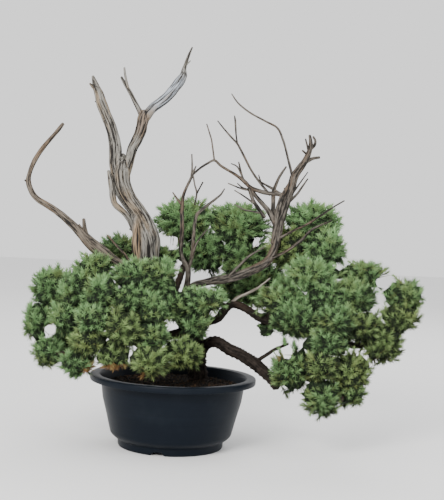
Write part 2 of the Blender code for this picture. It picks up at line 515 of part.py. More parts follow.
class Lobe:
    """One rounded mass of shoots: its middle, half sizes and the walls that it stays inside."""

    def __init__(self, name, x, z, y, wide, high, deep):
        depth = deeper(y, SPREAD)
        self.name = name
        self.middle = np.array(seen(x, z, depth))
        self.half = np.array((wide, deep * LOBE_DEPTH, high)) * (1 - depth / EYE.y)
        self.walls = []
        self.near = []

    def own(self, way):
        """How far the lobe's own rounded shape goes."""
        return 1 / np.linalg.norm(way / self.half)

    def reach(self, way):
        """How far it is out to the surface that all the lobes near it melt into."""
        lengths = self.own(way) * np.linspace(0.9, 1.9, 41)
        spots = self.middle + lengths[:, None] * way
        middles = np.array([other.middle for other in self.near])
        halves = np.array([other.half for other in self.near])
        shares = np.linalg.norm((spots[:, None] - middles) / halves, axis=2)
        inside = np.exp(MELT * (1 - shares)).sum(axis=1) > 1
        return lengths[-1] if inside.all() else lengths[max(int(np.argmin(inside)), 1) - 1]

    def free(self, way):
        """How far it is to the first wall."""
        return min((split / (way @ normal) for normal, split in self.walls if way @ normal > 0.01), default=99)


def meet(lobes):
    """Lists the neighbours of each lobe, itself among them, and sets a plane between it and each other one."""
    for lobe in lobes:
        for other in lobes:
            away = other.middle - lobe.middle
            far = np.linalg.norm(away)
            if far > lobe.half.max() + other.half.max() + NEARBY:
                continue
            lobe.near.append(other)
            if other is not lobe:
                way = away / far
                share = lobe.own(way) / (lobe.own(way) + other.own(way))
                lobe.walls.append((way, far * share - GAP))


def inside_walls(lobe, points):
    return all(((points - lobe.middle) @ normal < split).all() for normal, split in lobe.walls)


def clear_of_pot(points):
    reach = np.hypot(points[:, 0], points[:, 1])
    over_soil = (reach < MOUTH_RADIUS - 5 * POT_ROOM) & (points[:, 2] > SOIL_LEVEL + 5 * POT_ROOM)
    return ((points[:, 2] > POT_HEIGHT + POT_ROOM) | (reach > RIM_RADIUS + POT_ROOM) | over_soil).all()


def clear_of_holes(points):
    """Whether no point hides a gap of HOLES from EYE."""
    share = (points[:, 1] - EYE.y) / -EYE.y
    across = EYE.x + (points[:, 0] - EYE.x) / share
    up = EYE.z + (points[:, 2] - EYE.z) / share
    return all((np.hypot(across - x, up - z) > radius).all() for x, z, radius in HOLES)


def clear_of_wood(points, wood_points, spare):
    away = np.linalg.norm(points[:, None] - wood_points[None, :, :3], axis=2)
    return (away > wood_points[None, :, 3] + spare).all()


def build_core(lobe, wood_points, home, dice):
    """The middle of a lobe: a star of tips, with a peak between each three and dips between those."""
    bpy.ops.mesh.primitive_ico_sphere_add(subdivisions=1, radius=1.0)
    core = bpy.context.object
    body = bmesh.new()
    body.from_mesh(core.data)
    bmesh.ops.rotate(body, verts=body.verts, cent=(0, 0, 0),
                     matrix=Matrix.Rotation(dice.uniform(0, 3), 3, Vector((0.3, 0.5, 0.8)).normalized()))
    shares = {vertex: DIP for vertex in body.verts}
    for share, room, chosen in ((PEAK, DIP + 0.1, 1.0), (TIP, PEAK, TIPPED)):
        ways = {face: np.array(face.calc_center_median().normalized()) for face in body.faces}
        drawn = [face for face, way in ways.items()
                 if lobe.free(way) > lobe.reach(way) * room and dice.random() < chosen]
        shares.update((vertex, share) for vertex in bmesh.ops.poke(body, faces=drawn)["verts"])
    for vertex, share in shares.items():
        way = np.array(vertex.co.normalized())
        reach = lobe.reach(way)
        length = min((lobe.free(way) - WALL_GAP) * dice.uniform(1 - UNEVEN, 1),
                     reach * share * dice.uniform(1 - UNEVEN, 1 + UNEVEN))

        def blocked():
            spot = (lobe.middle + way * length)[None]
            in_wood = length > reach * DIP and not clear_of_wood(spot, wood_points, WALL_GAP)
            return in_wood or not (clear_of_pot(spot) and clear_of_holes(spot))

        while blocked():
            length *= SHORTER
        vertex.co = Vector((lobe.middle + way * length) * MM)
    body.to_mesh(core.data)
    body.free()
    for owner in list(core.users_collection):
        owner.objects.unlink(core)
    home.objects.link(core)
    return core


def shoot_shape(root, axis, length, spin, fits):
    """A slim three-sided shoot with six needles round its side and four at its end, bent in where they must."""
    side = np.cross(axis, (0.31, 0.52, 0.8))
    side /= np.linalg.norm(side)
    other = np.cross(axis, side)
    points = []
    for ring, (height, width) in enumerate(((0, 1.3), (SINK + 0.6, 1.15), (SINK + length * 0.5, 0.9))):
        for corner in range(3):
            turn = spin + ring * math.pi / 3 + corner * math.tau / 3
            across = side * math.cos(turn) + other * math.sin(turn)
            points.append(root + axis * height + across * width * NEEDLE_ROOT)
    points.append(root + axis * (SINK + length))
    bands = []
    for ring in range(2):
        for corner in range(3):
            a, b = ring * 3 + corner, ring * 3 + (corner + 1) % 3
            c, d = a + 3, (ring + 1) * 3 + (corner + 2) % 3
            bands.append(((a, b, c), (a, c, d)))
    faces = [(2, 1, 0)] + [face for pair in bands[:3] for face in pair]
    bearing = [face for pair in bands[3:] for face in pair] + [(6, 7, 9), (7, 8, 9), (8, 6, 9)]
    for face in bearing:
        middle = sum(points[i] for i in face) / 3
        out = middle - root - axis * ((middle - root) @ axis)
        out /= np.linalg.norm(out)
        way = out * 0.8 + axis * 0.5
        reach = NEEDLE
        while reach > 2.4 and not fits((middle + way * reach)[None]):
            reach -= 0.5
        points.append(middle + way * reach)
        tip = len(points) - 1
        faces += [(face[0], face[1], tip), (face[1], face[2], tip), (face[2], face[0], tip)]
    return np.array(points), faces


def build_shoots(lobe, core, wood_points, home, dice):
    """The lobe's shoots: they stand in dips of its core, lean up a little and keep clear of what is near."""
    def fits(points):
        return (inside_walls(lobe, points) and clear_of_pot(points) and clear_of_holes(points)
                and clear_of_wood(points, wood_points, WOOD_ROOM))

    wanted = round(SHOOTS * (lobe.half[0] * lobe.half[2] / USUAL_AREA) ** AREA_POWER)
    dips = [np.array(vertex.co) / MM - lobe.middle for vertex in core.data.vertices[:CORE_CORNERS]]
    dice.shuffle(dips)
    made = []
    for dip in dips:
        surface = np.linalg.norm(dip)
        way = dip / surface
        axis = way + np.array((0, 0, LEAN))
        axis /= np.linalg.norm(axis)
        length = max(lobe.reach(way) + STAND - surface, SHOOT) * dice.uniform(1 - UNEVEN, 1 + UNEVEN)
        points, faces = shoot_shape(lobe.middle + way * (surface - SINK), axis, length, dice.uniform(0, 2), fits)
        if len(made) < wanted and fits(points[3:]):
            mesh = bpy.data.meshes.new("shoot")
            mesh.from_pydata([Vector(p * MM) for p in points], [], faces)
            shoot = bpy.data.objects.new("shoot", mesh)
            home.objects.link(shoot)
            flip_if_inward(shoot)
            made.append(shoot)
    return made


def copied(obj):
    """A copy with a mesh of its own, for a Boolean that uses it up."""
    made = obj.copy()
    made.data = obj.data.copy()
    return made


def box_of(obj):
    corners = np.array([vertex.co for vertex in obj.data.vertices])
    return corners.min(axis=0), corners.max(axis=0)


def build_spray(lobe, wood_points, cutters, home, dice):
    """One node of foliage: a core and its shoots joined, with sockets cut for the wood."""
    core = build_core(lobe, wood_points, home, dice)
    core.name = lobe.name
    spray = combine(core, build_shoots(lobe, core, wood_points, home, dice), "UNION", home)
    low, high = box_of(spray)
    near = []
    for cutter in cutters:
        first, last = box_of(cutter)
        if (first < high).all() and (last > low).all():
            near.append(copied(cutter))
    spray = combine(spray, near, "DIFFERENCE", home)
    keep_largest(spray)
    return spray


def link_routes(lobes, limb_points):
    """A short twig for each lobe, from the nearest point of the limbs to the lobe's middle."""
    links = []
    for lobe in lobes:
        away = np.linalg.norm(limb_points[:, :3] - lobe.middle, axis=1)
        nearest = limb_points[int(np.argmin(away))]
        if away.min() > lobe.half.min() * PIERCED:
            links.append((Vector(nearest[:3]), Vector(lobe.middle), min(float(nearest[3]), TWIG_ROOT)))
    return links


def living_wood(name, links, home, grow=0.0):
    """The trunk with its roots, limbs and twigs joined; grow widens them all, for a cutter."""
    parts = [branch(name, TRUNK, home, grow, profile(9))]
    for i, route in enumerate(ROOTS):
        parts.append(branch(f"{name}_root_{i}", route, home, grow))
    for key, route in LIMBS.items():
        parts.append(branch(f"{name}_{key}", route, home, grow, spread=SPREAD))
    for i, (start, end, thick) in enumerate(links):
        parts.append(tube(f"{name}_twig_{i}", [start, end], [thick, TWIG], home, profile(3), grow))
    made = combine(parts[0], parts[1:], "UNION", home)
    keep_largest(made)
    return made


def paint(obj, shade):
    obj.data.materials.clear()
    obj.data.materials.append(shade)


def centre(tree):
    """Moves everything sideways so that the middle of the whole stands over the origin."""
    corners = np.array([end for obj in tree.objects for end in box_of(obj)])
    middle = (corners.min(axis=0) + corners.max(axis=0)) / 2
    for obj in tree.objects:
        obj.data.transform(Matrix.Translation((-middle[0], -middle[1], 0)))


def main():
    clear_scene()
    dice = random.Random(SEED)
    tree = collection("juniper_bonsai")
    work = collection("cutters", hidden=True)
    pot = build_pot(tree)
    soil = build_soil(tree, dice)

    dead_stems = {"tall_jin": ((TALL_JIN, TALL_LEFT, TALL_RIGHT), TALL_STRANDS),
                  "left_jin": ((LEFT_JIN,), LEFT_STUBS),
                  "arch_jin": ((ARCH,), ARCH_TWIGS)}
    dead = {}
    spaces = {}
    for name, (stems, twigs) in dead_stems.items():
        dead[name] = wood(name, stems, twigs, tree)
        spaces[name] = wood(name + "_space", stems, twigs, work, SOCKET)
    dead["tall_jin"] = combine(dead["tall_jin"], [copied(spaces["left_jin"])], "DIFFERENCE", tree)
    keep_largest(dead["tall_jin"])

    lobes = [Lobe(name, *values) for name, values in SPRAYS.items()]
    meet(lobes)
    bearing = [route for key, route in LIMBS.items() if not key.startswith(("pale", "sawn", "knob"))]
    links = link_routes(lobes, np.vstack((as_points(bearing, SPREAD), as_points([TRUNK[4:]]))))
    trunk = living_wood("trunk", links, tree)
    trunk_space = living_wood("trunk_space", links, work, SOCKET)
    trunk = combine(trunk, [copied(space) for space in spaces.values()], "DIFFERENCE", tree)
    keep_largest(trunk)
    soil = combine(soil, [copied(trunk_space)], "DIFFERENCE", tree)
    keep_largest(soil)

    spaces["trunk"] = trunk_space
    dead_routes = [route for stems, twigs in dead_stems.values() for route in (*stems, *twigs.values())]
    wood_points = np.vstack((as_points(dead_routes + [TRUNK]), as_points(LIMBS.values(), SPREAD)))
    fresh = material("needles_fresh", (0.12, 0.24, 0.085), 0.6)
    olive = material("needles_olive", (0.16, 0.19, 0.05), 0.6)
    deep = material("needles_deep", (0.05, 0.11, 0.05), 0.65)
    for lobe in lobes:
        near = wood_points[np.linalg.norm(wood_points[:, :3] - lobe.middle, axis=1) < REACH_OF_WOOD]
        spray = build_spray(lobe, near, spaces.values(), tree, dice)
        paint(spray, olive if lobe.name in OLIVE else deep if lobe.name in DEEP else fresh)
    for space in spaces.values():
        bpy.data.objects.remove(space, do_unlink=True)

    paint(pot, material("black_plastic", (0.012, 0.018, 0.026), 0.42))
    paint(soil, material("soil", (0.045, 0.032, 0.02), 0.95))
    paint(trunk, material("bark", (0.075, 0.05, 0.038), 0.85))
    paint(dead["tall_jin"], material("silver_deadwood", (0.36, 0.33, 0.29), 0.8))
    paint(dead["left_jin"], material("grey_deadwood", (0.24, 0.19, 0.15), 0.8))
    paint(dead["arch_jin"], material("brown_deadwood", (0.16, 0.11, 0.075), 0.8))
    centre(tree)


main()
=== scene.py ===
# A juniper bonsai in a round plastic pot: a leaning trunk in soil, three lengths of bleached deadwood,
# and dense sprays of short needles. The sections follow the way it is put together, from the pot up.
import math

import bpy
import numpy as np
from mathutils import Matrix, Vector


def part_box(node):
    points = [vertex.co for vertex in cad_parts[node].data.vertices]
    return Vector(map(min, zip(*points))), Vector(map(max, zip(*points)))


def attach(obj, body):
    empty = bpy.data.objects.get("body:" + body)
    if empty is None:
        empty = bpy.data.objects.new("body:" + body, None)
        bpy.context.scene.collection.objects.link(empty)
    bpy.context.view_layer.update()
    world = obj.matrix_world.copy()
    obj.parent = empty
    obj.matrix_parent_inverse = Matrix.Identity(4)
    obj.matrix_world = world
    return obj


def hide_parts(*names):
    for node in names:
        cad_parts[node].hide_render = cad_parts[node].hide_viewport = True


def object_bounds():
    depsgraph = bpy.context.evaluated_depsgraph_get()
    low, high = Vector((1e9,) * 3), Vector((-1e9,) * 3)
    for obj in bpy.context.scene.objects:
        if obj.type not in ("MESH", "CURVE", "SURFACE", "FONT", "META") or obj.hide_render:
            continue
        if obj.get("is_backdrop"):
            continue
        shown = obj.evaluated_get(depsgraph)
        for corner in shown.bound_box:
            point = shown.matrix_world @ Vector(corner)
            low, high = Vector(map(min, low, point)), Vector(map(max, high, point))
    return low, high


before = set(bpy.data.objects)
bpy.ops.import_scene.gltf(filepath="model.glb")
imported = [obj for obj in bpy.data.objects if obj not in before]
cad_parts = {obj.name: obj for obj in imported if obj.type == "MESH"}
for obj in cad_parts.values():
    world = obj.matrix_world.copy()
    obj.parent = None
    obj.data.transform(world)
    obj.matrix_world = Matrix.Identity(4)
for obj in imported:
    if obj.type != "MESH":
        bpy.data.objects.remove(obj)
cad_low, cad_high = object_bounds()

# The pot: one injection moulded shell of black plastic, 210 mm over its rolled rim, with a stepped
# foot that three drain notches cut. It stands on the flat ring of the foot.
MM = 0.001
pot_low, pot_high = (np.array(corner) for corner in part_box("pot"))
POT_MIDDLE = (pot_low + pot_high) * (0.5, 0.5, 0)
POT_OUTLINE = [(0, 3), (55.5, 3), (56, 1), (57.5, 0), (64.5, 0), (66, 0.7), (66.6, 2.2), (67, 7.8),
    (67.6, 9.3), (69.4, 10.6), (71, 11.6), (74.6, 14.6), (76.6, 17.2), (77.5, 20), (82.5, 40), (88, 60),
    (90.4, 77), (91, 81.4), (91.6, 82.3), (92.6, 82.6), (103.2, 82.6), (104.5, 82.9), (104.9, 84),
    (105, 88), (104.5, 89.4), (103.2, 90), (95.4, 90), (93.6, 89.6), (92.8, 88.6), (91.4, 84), (86, 60),
    (74.5, 22), (68, 12), (62.5, 6.6), (60, 6), (0, 6)]
NOTCH_TURN = math.radians(-100.8)
NOTCH_TALL = 4.5
NOTCH_FOOT, NOTCH_TOP = 9.0, 5.2
FOOT_RING = (55, 67.2)
FOOT_RADIUS = 66


class Value:
    """A number or colour at a socket of a material's nodes. Operators put it through Math nodes."""

    def __init__(self, finish, socket):
        self.finish, self.socket = finish, socket

    def _math(self, operation, *numbers):
        return self.finish.node("ShaderNodeMath", dict(enumerate(numbers)), operation=operation)

    def __add__(self, other):
        return self._math("ADD", self, other)

    def __rsub__(self, other):
        return self._math("SUBTRACT", other, self)

    def __mul__(self, other):
        return self._math("MULTIPLY", self, other)

    def between(self, low, high):
        """0 up to low, 1 from high on, and a smooth step between."""
        return self.finish.node("ShaderNodeMapRange", {"Value": self, "From Min": low, "From Max": high},
                                interpolation_type="SMOOTHSTEP")


class Finish:
    """A material on the Principled shader."""

    def __init__(self, name, roughness, specular=0.5):
        self.name, self.material = name, bpy.data.materials.new(name)
        self.material.use_nodes = True
        self.tree = self.material.node_tree
        self.shader = self.tree.nodes["Principled BSDF"]
        self.feed(self.shader, {"Roughness": roughness, "Specular IOR Level": specular})

    def feed(self, node, sockets):
        for key, given in sockets.items():
            if isinstance(given, Value):
                self.tree.links.new(given.socket, node.inputs[key])
            elif node.inputs[key].type == "RGBA":
                node.inputs[key].default_value = (*given, 1)
            else:
                node.inputs[key].default_value = given

    def node(self, kind, sockets=None, output=0, stops=(), **settings):
        """An output of a new node, from its settings, a ramp's stops, and its sockets' values or links."""
        made = self.tree.nodes.new(kind)
        for key, setting in settings.items():
            setattr(made, key, setting)
        for place, (at, color) in enumerate(stops):
            stop = made.color_ramp.elements[place] if place < 2 else made.color_ramp.elements.new(at)
            stop.position, stop.color = at, (*color, 1)
        self.feed(made, sockets or {})
        return Value(self, made.outputs[output])

    def stretched(self, spot, scale, shift=(0, 0, 0)):
        return self.node("ShaderNodeMapping", {"Vector": spot, "Scale": scale, "Location": shift})

    def place(self, scale=(1, 1, 1), shift=(0, 0, 0)):
        """Object coordinates, stretched and then moved."""
        return self.stretched(self.node("ShaderNodeTexCoord", output="Object"), scale, shift)

    def near(self, middle, half):
        """1 near a place in millimetres, falling to 0 on an ellipsoid round it."""
        half = np.array(half) * MM
        spot = self.place(tuple(1 / half), tuple(-(np.array(middle) * MM + POT_MIDDLE) / half))
        away = self.node("ShaderNodeVectorMath", {0: spot}, output=1, operation="LENGTH")
        return away.between(1.0, 0.5)

    def mark(self, name, output="Fac"):
        return self.node("ShaderNodeAttribute", output=output, attribute_name=name)

    def noise(self, spot, scale, detail=3.0, rough=0.55):
        return self.node("ShaderNodeTexNoise",
                         {"Vector": spot, "Scale": scale, "Detail": detail, "Roughness": rough})

    def mix(self, low, high, share):
        """Colour low at a share of 0, and high at 1."""
        return self.node("ShaderNodeMix", {0: share, 6: low, 7: high}, output=2, data_type="RGBA")

    def color(self, value):
        self.feed(self.shader, {"Base Color": value})

    def bumps(self, height, deep, strength=1.0):
        relief = self.node("ShaderNodeBump", {"Height": height, "Distance": deep, "Strength": strength})
        self.feed(self.shader, {"Normal": relief})


def new_piece(name, points, faces, finish, replaced=(), slot=None, smooth=True, **marks):
    """A piece from points in millimetres from the pot's middle, and arrays of faces of one corner count
    each. A mark is a number or a vector at each point, which the finish reads by its name."""
    mesh = bpy.data.meshes.new(name)
    corners = np.concatenate([np.ravel(group) for group in faces])
    sizes = np.concatenate([np.full(len(group), group.shape[1]) for group in faces])
    mesh.vertices.add(len(points))
    mesh.vertices.foreach_set("co", (np.asarray(points) * MM + POT_MIDDLE).ravel())
    mesh.loops.add(len(corners))
    mesh.loops.foreach_set("vertex_index", corners)
    mesh.polygons.add(len(sizes))
    mesh.polygons.foreach_set("loop_start", np.cumsum(sizes) - sizes)
    mesh.update(calc_edges=True)
    mesh.polygons.foreach_set("use_smooth", np.full(len(sizes), smooth))
    for key, numbers in marks.items():
        numbers = np.asarray(numbers, np.float32)
        kind, field = ("FLOAT_VECTOR", "vector") if numbers.ndim == 2 else ("FLOAT", "value")
        mesh.attributes.new(key, kind, "POINT").data.foreach_set(field, numbers.ravel())
    mesh.materials.append(finish.material)
    piece = bpy.data.objects.new(name, mesh)
    bpy.context.scene.collection.objects.link(piece)
    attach(piece, "root")
    if replaced:
        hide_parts(*replaced)
    return piece


def skin(rings, first, last):
    """A closed skin: quads between rings of points (rows, around, 3), and a fan to a pole at each end."""
    rows, around = rings.shape[:2]
    points = np.vstack((rings.reshape(-1, 3), first, last))
    ring = np.arange(around)
    after = (ring + 1) % around
    row = np.arange(rows - 1)[:, None] * around
    quads = np.stack((row + ring, row + after, row + around + after, row + around + ring), -1)
    last_row, poles = (rows - 1) * around, rows * around
    start = np.stack((after, ring, np.full(around, poles)), -1)
    end = np.stack((ring + last_row, after + last_row, np.full(around, poles + 1)), -1)
    return points, [quads.reshape(-1, 4), np.vstack((start, end))]


def turned(outline, around, lift=None):
    """A turned shape: the outline's (radius, height) points carried round the axis, some lifted."""
    outline = np.array(outline, float)
    angle = np.linspace(0, 2 * np.pi, around, endpoint=False)[None, :]
    radius, height = outline[1:-1, :1], outline[1:-1, 1:] + 0 * angle
    if lift:
        height = np.maximum(height, lift(radius, angle))
    rings = np.stack((radius * np.cos(angle), radius * np.sin(angle), height), -1)
    return skin(rings, (0, 0, outline[0, 1]), (0, 0, outline[-1, 1]))


def notches(radius, angle):
    """How high the foot's ring is cut: a trapezoid at three even turns round it, and -1 off the ring."""
    sixth = np.pi / 3
    near = np.abs((angle - NOTCH_TURN + sixth) % (2 * sixth) - sixth) * FOOT_RADIUS
    share = np.clip((NOTCH_FOOT - near) / (NOTCH_FOOT - NOTCH_TOP), 0, 1)
    return np.where((radius > FOOT_RING[0]) & (radius < FOOT_RING[1]), share * NOTCH_TALL, -1.0)


plastic = Finish("black_plastic", 0.36, 0.085)
spot = plastic.place()
cloud = plastic.noise(spot, 26, 4)
speck = plastic.noise(spot, 900, 2, 0.7)
hoops = plastic.noise(plastic.place((1, 1, 46)), 7, 3)
dust = cloud.between(0.46, 0.74) * 0.5 + speck.between(0.6, 0.75) * 0.3
shade = plastic.mix((0.0028, 0.0046, 0.0078), (0.005, 0.008, 0.013), hoops)
plastic.color(plastic.mix(shade, (0.03, 0.036, 0.044), dust * 0.2))
plastic.feed(plastic.shader, {"Roughness": cloud * 0.16 + speck * 0.06 + 0.30})
plastic.bumps(hoops * 0.4 + speck * 0.25, 0.00025, 0.5)
pot = new_piece("pot_shell", *turned(POT_OUTLINE, 288, notches), plastic, ["pot"])
pot.data.set_sharp_from_angle(angle=math.radians(30))

# The soil: dark damp potting mix, painted darker still for the shade that the foliage casts on it, 12 mm
# below the rim and heaped a little round the trunk. It is one lump here; the loose bark crumbs and the
# shed brown needles on it lie half sunk in its top, painted darker for the same shade.
SOIL_TOP = 77.0
SOIL_REACH = 88.0
LITTER_REACH = 84
SOIL_SIDE = [(0, 6.4), (61, 6.4), (73.6, 22), (85, 60), (87.7, 75.4)]
chance = np.random.default_rng(5)


def heaped(x, y):
    """The soil's height: a low cone with waves of four sizes that die at the edge."""
    far = np.hypot(x, y)
    wave = np.sin(x * 0.13 + 1.1) * np.cos(y * 0.11) * 0.8 + np.sin(x * 0.31 + y * 0.27) * 0.6
    wave += np.sin(x * 0.83 - y * 0.71) * 0.35 + np.cos(x * 1.9 + y * 1.3) * 0.22
    return SOIL_TOP + 2.4 - far * 0.02 + wave * np.clip((SOIL_REACH - far) / 20, 0.3, 1)


points, faces = turned(SOIL_SIDE + [(r, SOIL_TOP) for r in range(86, 1, -2)] + [(0, SOIL_TOP)], 120)
top = points[:, 2] > SOIL_TOP - 0.5
points[top, 2] = heaped(points[top, 0], points[top, 1])
earth = Finish("soil", 0.95, 0.1)
spot = earth.place()
grit = earth.noise(spot, 420, 5, 0.7)
patch = earth.noise(spot, 38, 3)
# Painted shade: the mix's own dark browns are painted darker still, for the shade of the foliage over the
# soil.
damp_and_shade = earth.mix((0.002, 0.0017, 0.0014), (0.009, 0.007, 0.005), grit.between(0.35, 0.7))
earth.color(earth.mix(damp_and_shade, (0.02, 0.018, 0.009), patch.between(0.55, 0.72) * 0.6))
earth.bumps(grit, 0.0022, 0.9)
new_piece("soil_lump", points, faces, earth, ["soil"])


def scattered(count, size, long):
    """Crumbs on the soil: an octahedron each, long times its width, jittered, tipped and turned."""
    far = LITTER_REACH * np.sqrt(chance.random(count))
    turn = chance.random(count) * 2 * np.pi
    x, y = far * np.cos(turn), far * np.sin(turn)
    middle = np.stack((x, y, heaped(x, y)), -1)
    corners = np.array([(1, 0, 0), (-1, 0, 0), (0, 1, 0), (0, -1, 0), (0, 0, 1), (0, 0, -1)], float)
    shape = corners * (np.array([long, 1, 0.7]) * size) * (0.5 + chance.random((count, 6, 1)))
    spin, tip = chance.random((count, 1)) * 2 * np.pi, chance.random((count, 1)) * 0.7
    across = shape[..., 0] * np.cos(tip) - shape[..., 2] * np.sin(tip)
    up = shape[..., 0] * np.sin(tip) + shape[..., 2] * np.cos(tip)
    shape = np.stack((across * np.cos(spin) - shape[..., 1] * np.sin(spin),
                      across * np.sin(spin) + shape[..., 1] * np.cos(spin), up), -1)
    sides = [(0, 2, 4), (2, 1, 4), (1, 3, 4), (3, 0, 4), (2, 0, 5), (1, 2, 5), (3, 1, 5), (0, 3, 5)]
    faces = (np.array(sides) + np.arange(count)[:, None, None] * 6).reshape(-1, 3)
    return (middle[:, None] + shape).reshape(-1, 3), faces, np.repeat(chance.random(count), 6)


crumbs, straws = scattered(1700, 1.7, 1.3), scattered(1000, 0.45, 8.0)
CRUMB_TONES, STRAW_TONE = 0.7, 0.76
litter = Finish("litter", 0.9, 0.15)
# Painted shade: the crumbs' and needles' own browns are painted darker, for the shade of the foliage over
# them.
TONES = [(0.0, (0.003, 0.0022, 0.0018)), (0.45, (0.011, 0.0075, 0.005)), (0.7, (0.028, 0.02, 0.014)),
         (0.76, (0.035, 0.017, 0.008)), (1.0, (0.1, 0.055, 0.026))]
litter.color(litter.node("ShaderNodeValToRGB", {"Fac": litter.mark("tone")}, stops=TONES))
faces = np.vstack((crumbs[1], straws[1] + len(crumbs[0])))
new_piece("soil_litter", np.vstack((crumbs[0], straws[0])), [faces], litter, slot="soil", smooth=False,
          tone=np.concatenate((crumbs[2] * CRUMB_TONES, STRAW_TONE + straws[2] * 0.24)))

# The living wood: one trunk that leans out of the soil on four roots, with its limbs and the short twigs
# that carry the sprays. Its bark is dark and rough, with raised strips and scales, and painted shade in
# the cracks between them. EYE is the camera's place: wood and sprays are given as it sees them, in
# millimetres from the pot's middle.
EYE = np.array((53.0, -1250.0, 277.0))
TRUNK_DEPTH = 18.0
SPREAD = 1.5
DETAIL = [(9, (64, 1.8)), (3.8, (36, 1.8)), (1.7, (14, 2.0)), (0, (8, 2.5))]
CLEFT_GAP, CRACK_GAP = 6.5, 3.2
STOUT = 3
THINNEST = 0.4
VIEW = (0.21, -0.95, 0.23)
TRUNK = [(31, 52, 44, 12), (31, 72, 44, 15.5), (31, 83, 43, 13.5), (30.5, 98, 41, 11.5), (28, 118, 36, 11),
    (23, 138, 30, 11.5), (14, 158, 23, 12), (2, 176, 18, 12.5), (-14, 192, 15, 12.5), (-26, 205, 13, 12)]
ROOTS = [
    [(30, 84, 40, 8), (44, 78, 30, 5.5), (56, 74, 22, 3)],
    [(30, 84, 40, 8), (18, 78, 26, 5.5), (8, 74, 14, 3)],
    [(30, 84, 46, 8), (40, 80, 60, 5), (46, 76, 70, 2.5)],
    [(30, 84, 46, 8), (14, 80, 56, 5), (4, 75, 64, 2.5)],
]
LIMBS = {
    "left_high": [(-8, 188, 15, 6), (-40, 188, 2, 5), (-75, 181, -10, 4.2), (-110, 182, -12, 3.4),
      (-140, 179, -8, 2.6), (-163, 172, 0, 1.8)],
    "left_low": [(20, 148, 26, 6.5), (-10, 138, 8, 5.4), (-45, 130, -12, 4.6), (-80, 126, -22, 3.8),
      (-115, 117, -26, 3), (-145, 110, -20, 2.4), (-170, 118, -10, 1.6)],
    "arch": [(20, 150, 27, 6.5), (38, 158, 18, 4.6), (52, 163, 12, 4.6), (59, 171, 8, 4.8),
      (66, 180, 5, 4.8), (74, 183, 2, 4.6), (90, 177, 0, 4.4), (107, 167, -3, 5), (119, 164, -4, 6.2),
      (132, 157, -5, 5.4), (165, 150, -5, 4.6), (200, 142, -5, 4.2), (225, 138, -3, 4), (243, 141, 0, 3.6),
      (257, 153, 0, 3), (276, 176, 0, 2.3), (290, 192, -3, 1.6)],
    "low": [(29, 112, 31, 6.5), (40, 130, 20, 6.4), (53, 133.5, 6, 6.6), (71.5, 124.5, 0, 7),
      (84.5, 119, -3, 7), (97.5, 111.5, -5, 7.2), (113.5, 100, -8, 7), (121, 93, -10, 6.4),
      (127.5, 87, -12, 6), (132.5, 79.5, -14, 5.4)],
    "knob": [(50, 131, 8, 5), (52, 139.5, 6, 4.4)],
    "fork": [(106, 113, -5, 2.4), (119, 122, -6, 2.2), (127, 128, -8, 2), (144, 136, -10, 1.5)],
    "skirt": [(121, 94, -10, 4.6), (140, 96, -13, 4.2), (165, 98, -15, 3.8), (195, 96, -17, 3),
      (222, 92, -13, 2)],
    "sawn": [(165, 97, -15, 3.6), (190, 84, -18, 4.2), (205, 73, -21, 4.4), (216, 67.5, -23, 4.2)],
    "sawn_arch": [(117, 168, -5, 4), (118, 180, -10, 3.2)],
    "sawn_tip": [(241, 140, 0, 3.4), (256, 124, -8, 3.6)],
    "riser": [(119, 168, -2, 4.6), (127, 188, 8, 4), (139, 213, 14, 3.6), (152, 240, 16, 3),
      (163, 272, 19, 2.4), (168, 290, 22, 1.6)],
    "riser_side": [(141, 215, 14, 2.8), (170, 218, 6, 2.6), (205, 224, 8, 2.4), (243, 227, 8, 1.5)],
    "crown": [(-6, 186, 18, 5), (2, 212, 32, 4), (12, 238, 42, 3.6), (36, 262, 46, 3.2),
      (62, 270, 44, 2.6), (92, 270, 44, 1.6)],
    "crown_left": [(8, 228, 38, 2.8), (2, 252, 46, 2.6), (-4, 278, 48, 1.6)],
    "back_left": [(-2, 180, 22, 4.6), (-40, 182, 44, 3.6), (-80, 184, 46, 3), (-112, 182, 44, 2)],
    "back_right": [(12, 162, 28, 4.6), (60, 200, 48, 3.6), (110, 216, 48, 3.2), (150, 214, 44, 2.6),
      (205, 178, 40, 1.8)],
    "pale_twig": [(66, 181, 4, 2.2), (77, 191.5, 0, 2), (89, 197.5, -2, 1.8), (103.5, 206, -4, 1.6),
      (117, 218, -5, 0.9)],
    "pale_twig_side": [(102, 205, -4, 1.3), (129, 207.5, -6, 0.9)],
}


def seen(rows, spread=1.0):
    """Rows of (x, z, depth, radius) as points, each on the line from EYE through (x, z) of the pot's own
    plane. The spread moves depths away from the trunk's."""
    x, z, depth, radius = np.array(rows, float).T
    depth = TRUNK_DEPTH + (depth - TRUNK_DEPTH) * spread
    share = 1 - depth / EYE[1]
    return np.stack((EYE[0] + (x - EYE[0]) * share, depth, EYE[2] + (z - EYE[2]) * share, radius), -1)


def carried(rows, step):
    """A path through rows of x, y, z and radius, in even steps: cubic from row to row, with half the way
    from the row before to the row after as the slope at a row."""
    rows = np.asarray(rows, float)
    ends = np.vstack((2 * rows[0] - rows[1], rows, 2 * rows[-1] - rows[-2]))
    fine = []
    for before, start, end, after in zip(ends, ends[1:], ends[2:], ends[3:]):
        t = np.linspace(0, 1, 24, endpoint=False)[:, None]
        bend, turn = 2 * before - 5 * start + 4 * end - after, 3 * start - before - 3 * end + after
        fine.append(0.5 * (2 * start + (end - before) * t + bend * t * t + turn * t ** 3))
    fine = np.vstack((*fine, rows[-1:]))
    run = np.concatenate(([0], np.cumsum(np.linalg.norm(np.diff(fine[:, :3], axis=0), axis=1))))
    at = np.linspace(0, run[-1], max(4, int(run[-1] / step)))
    path = np.stack([np.interp(at, run, fine[:, k]) for k in range(4)], -1)
    return path[:, :3], np.maximum(path[:, 3], THINNEST), at


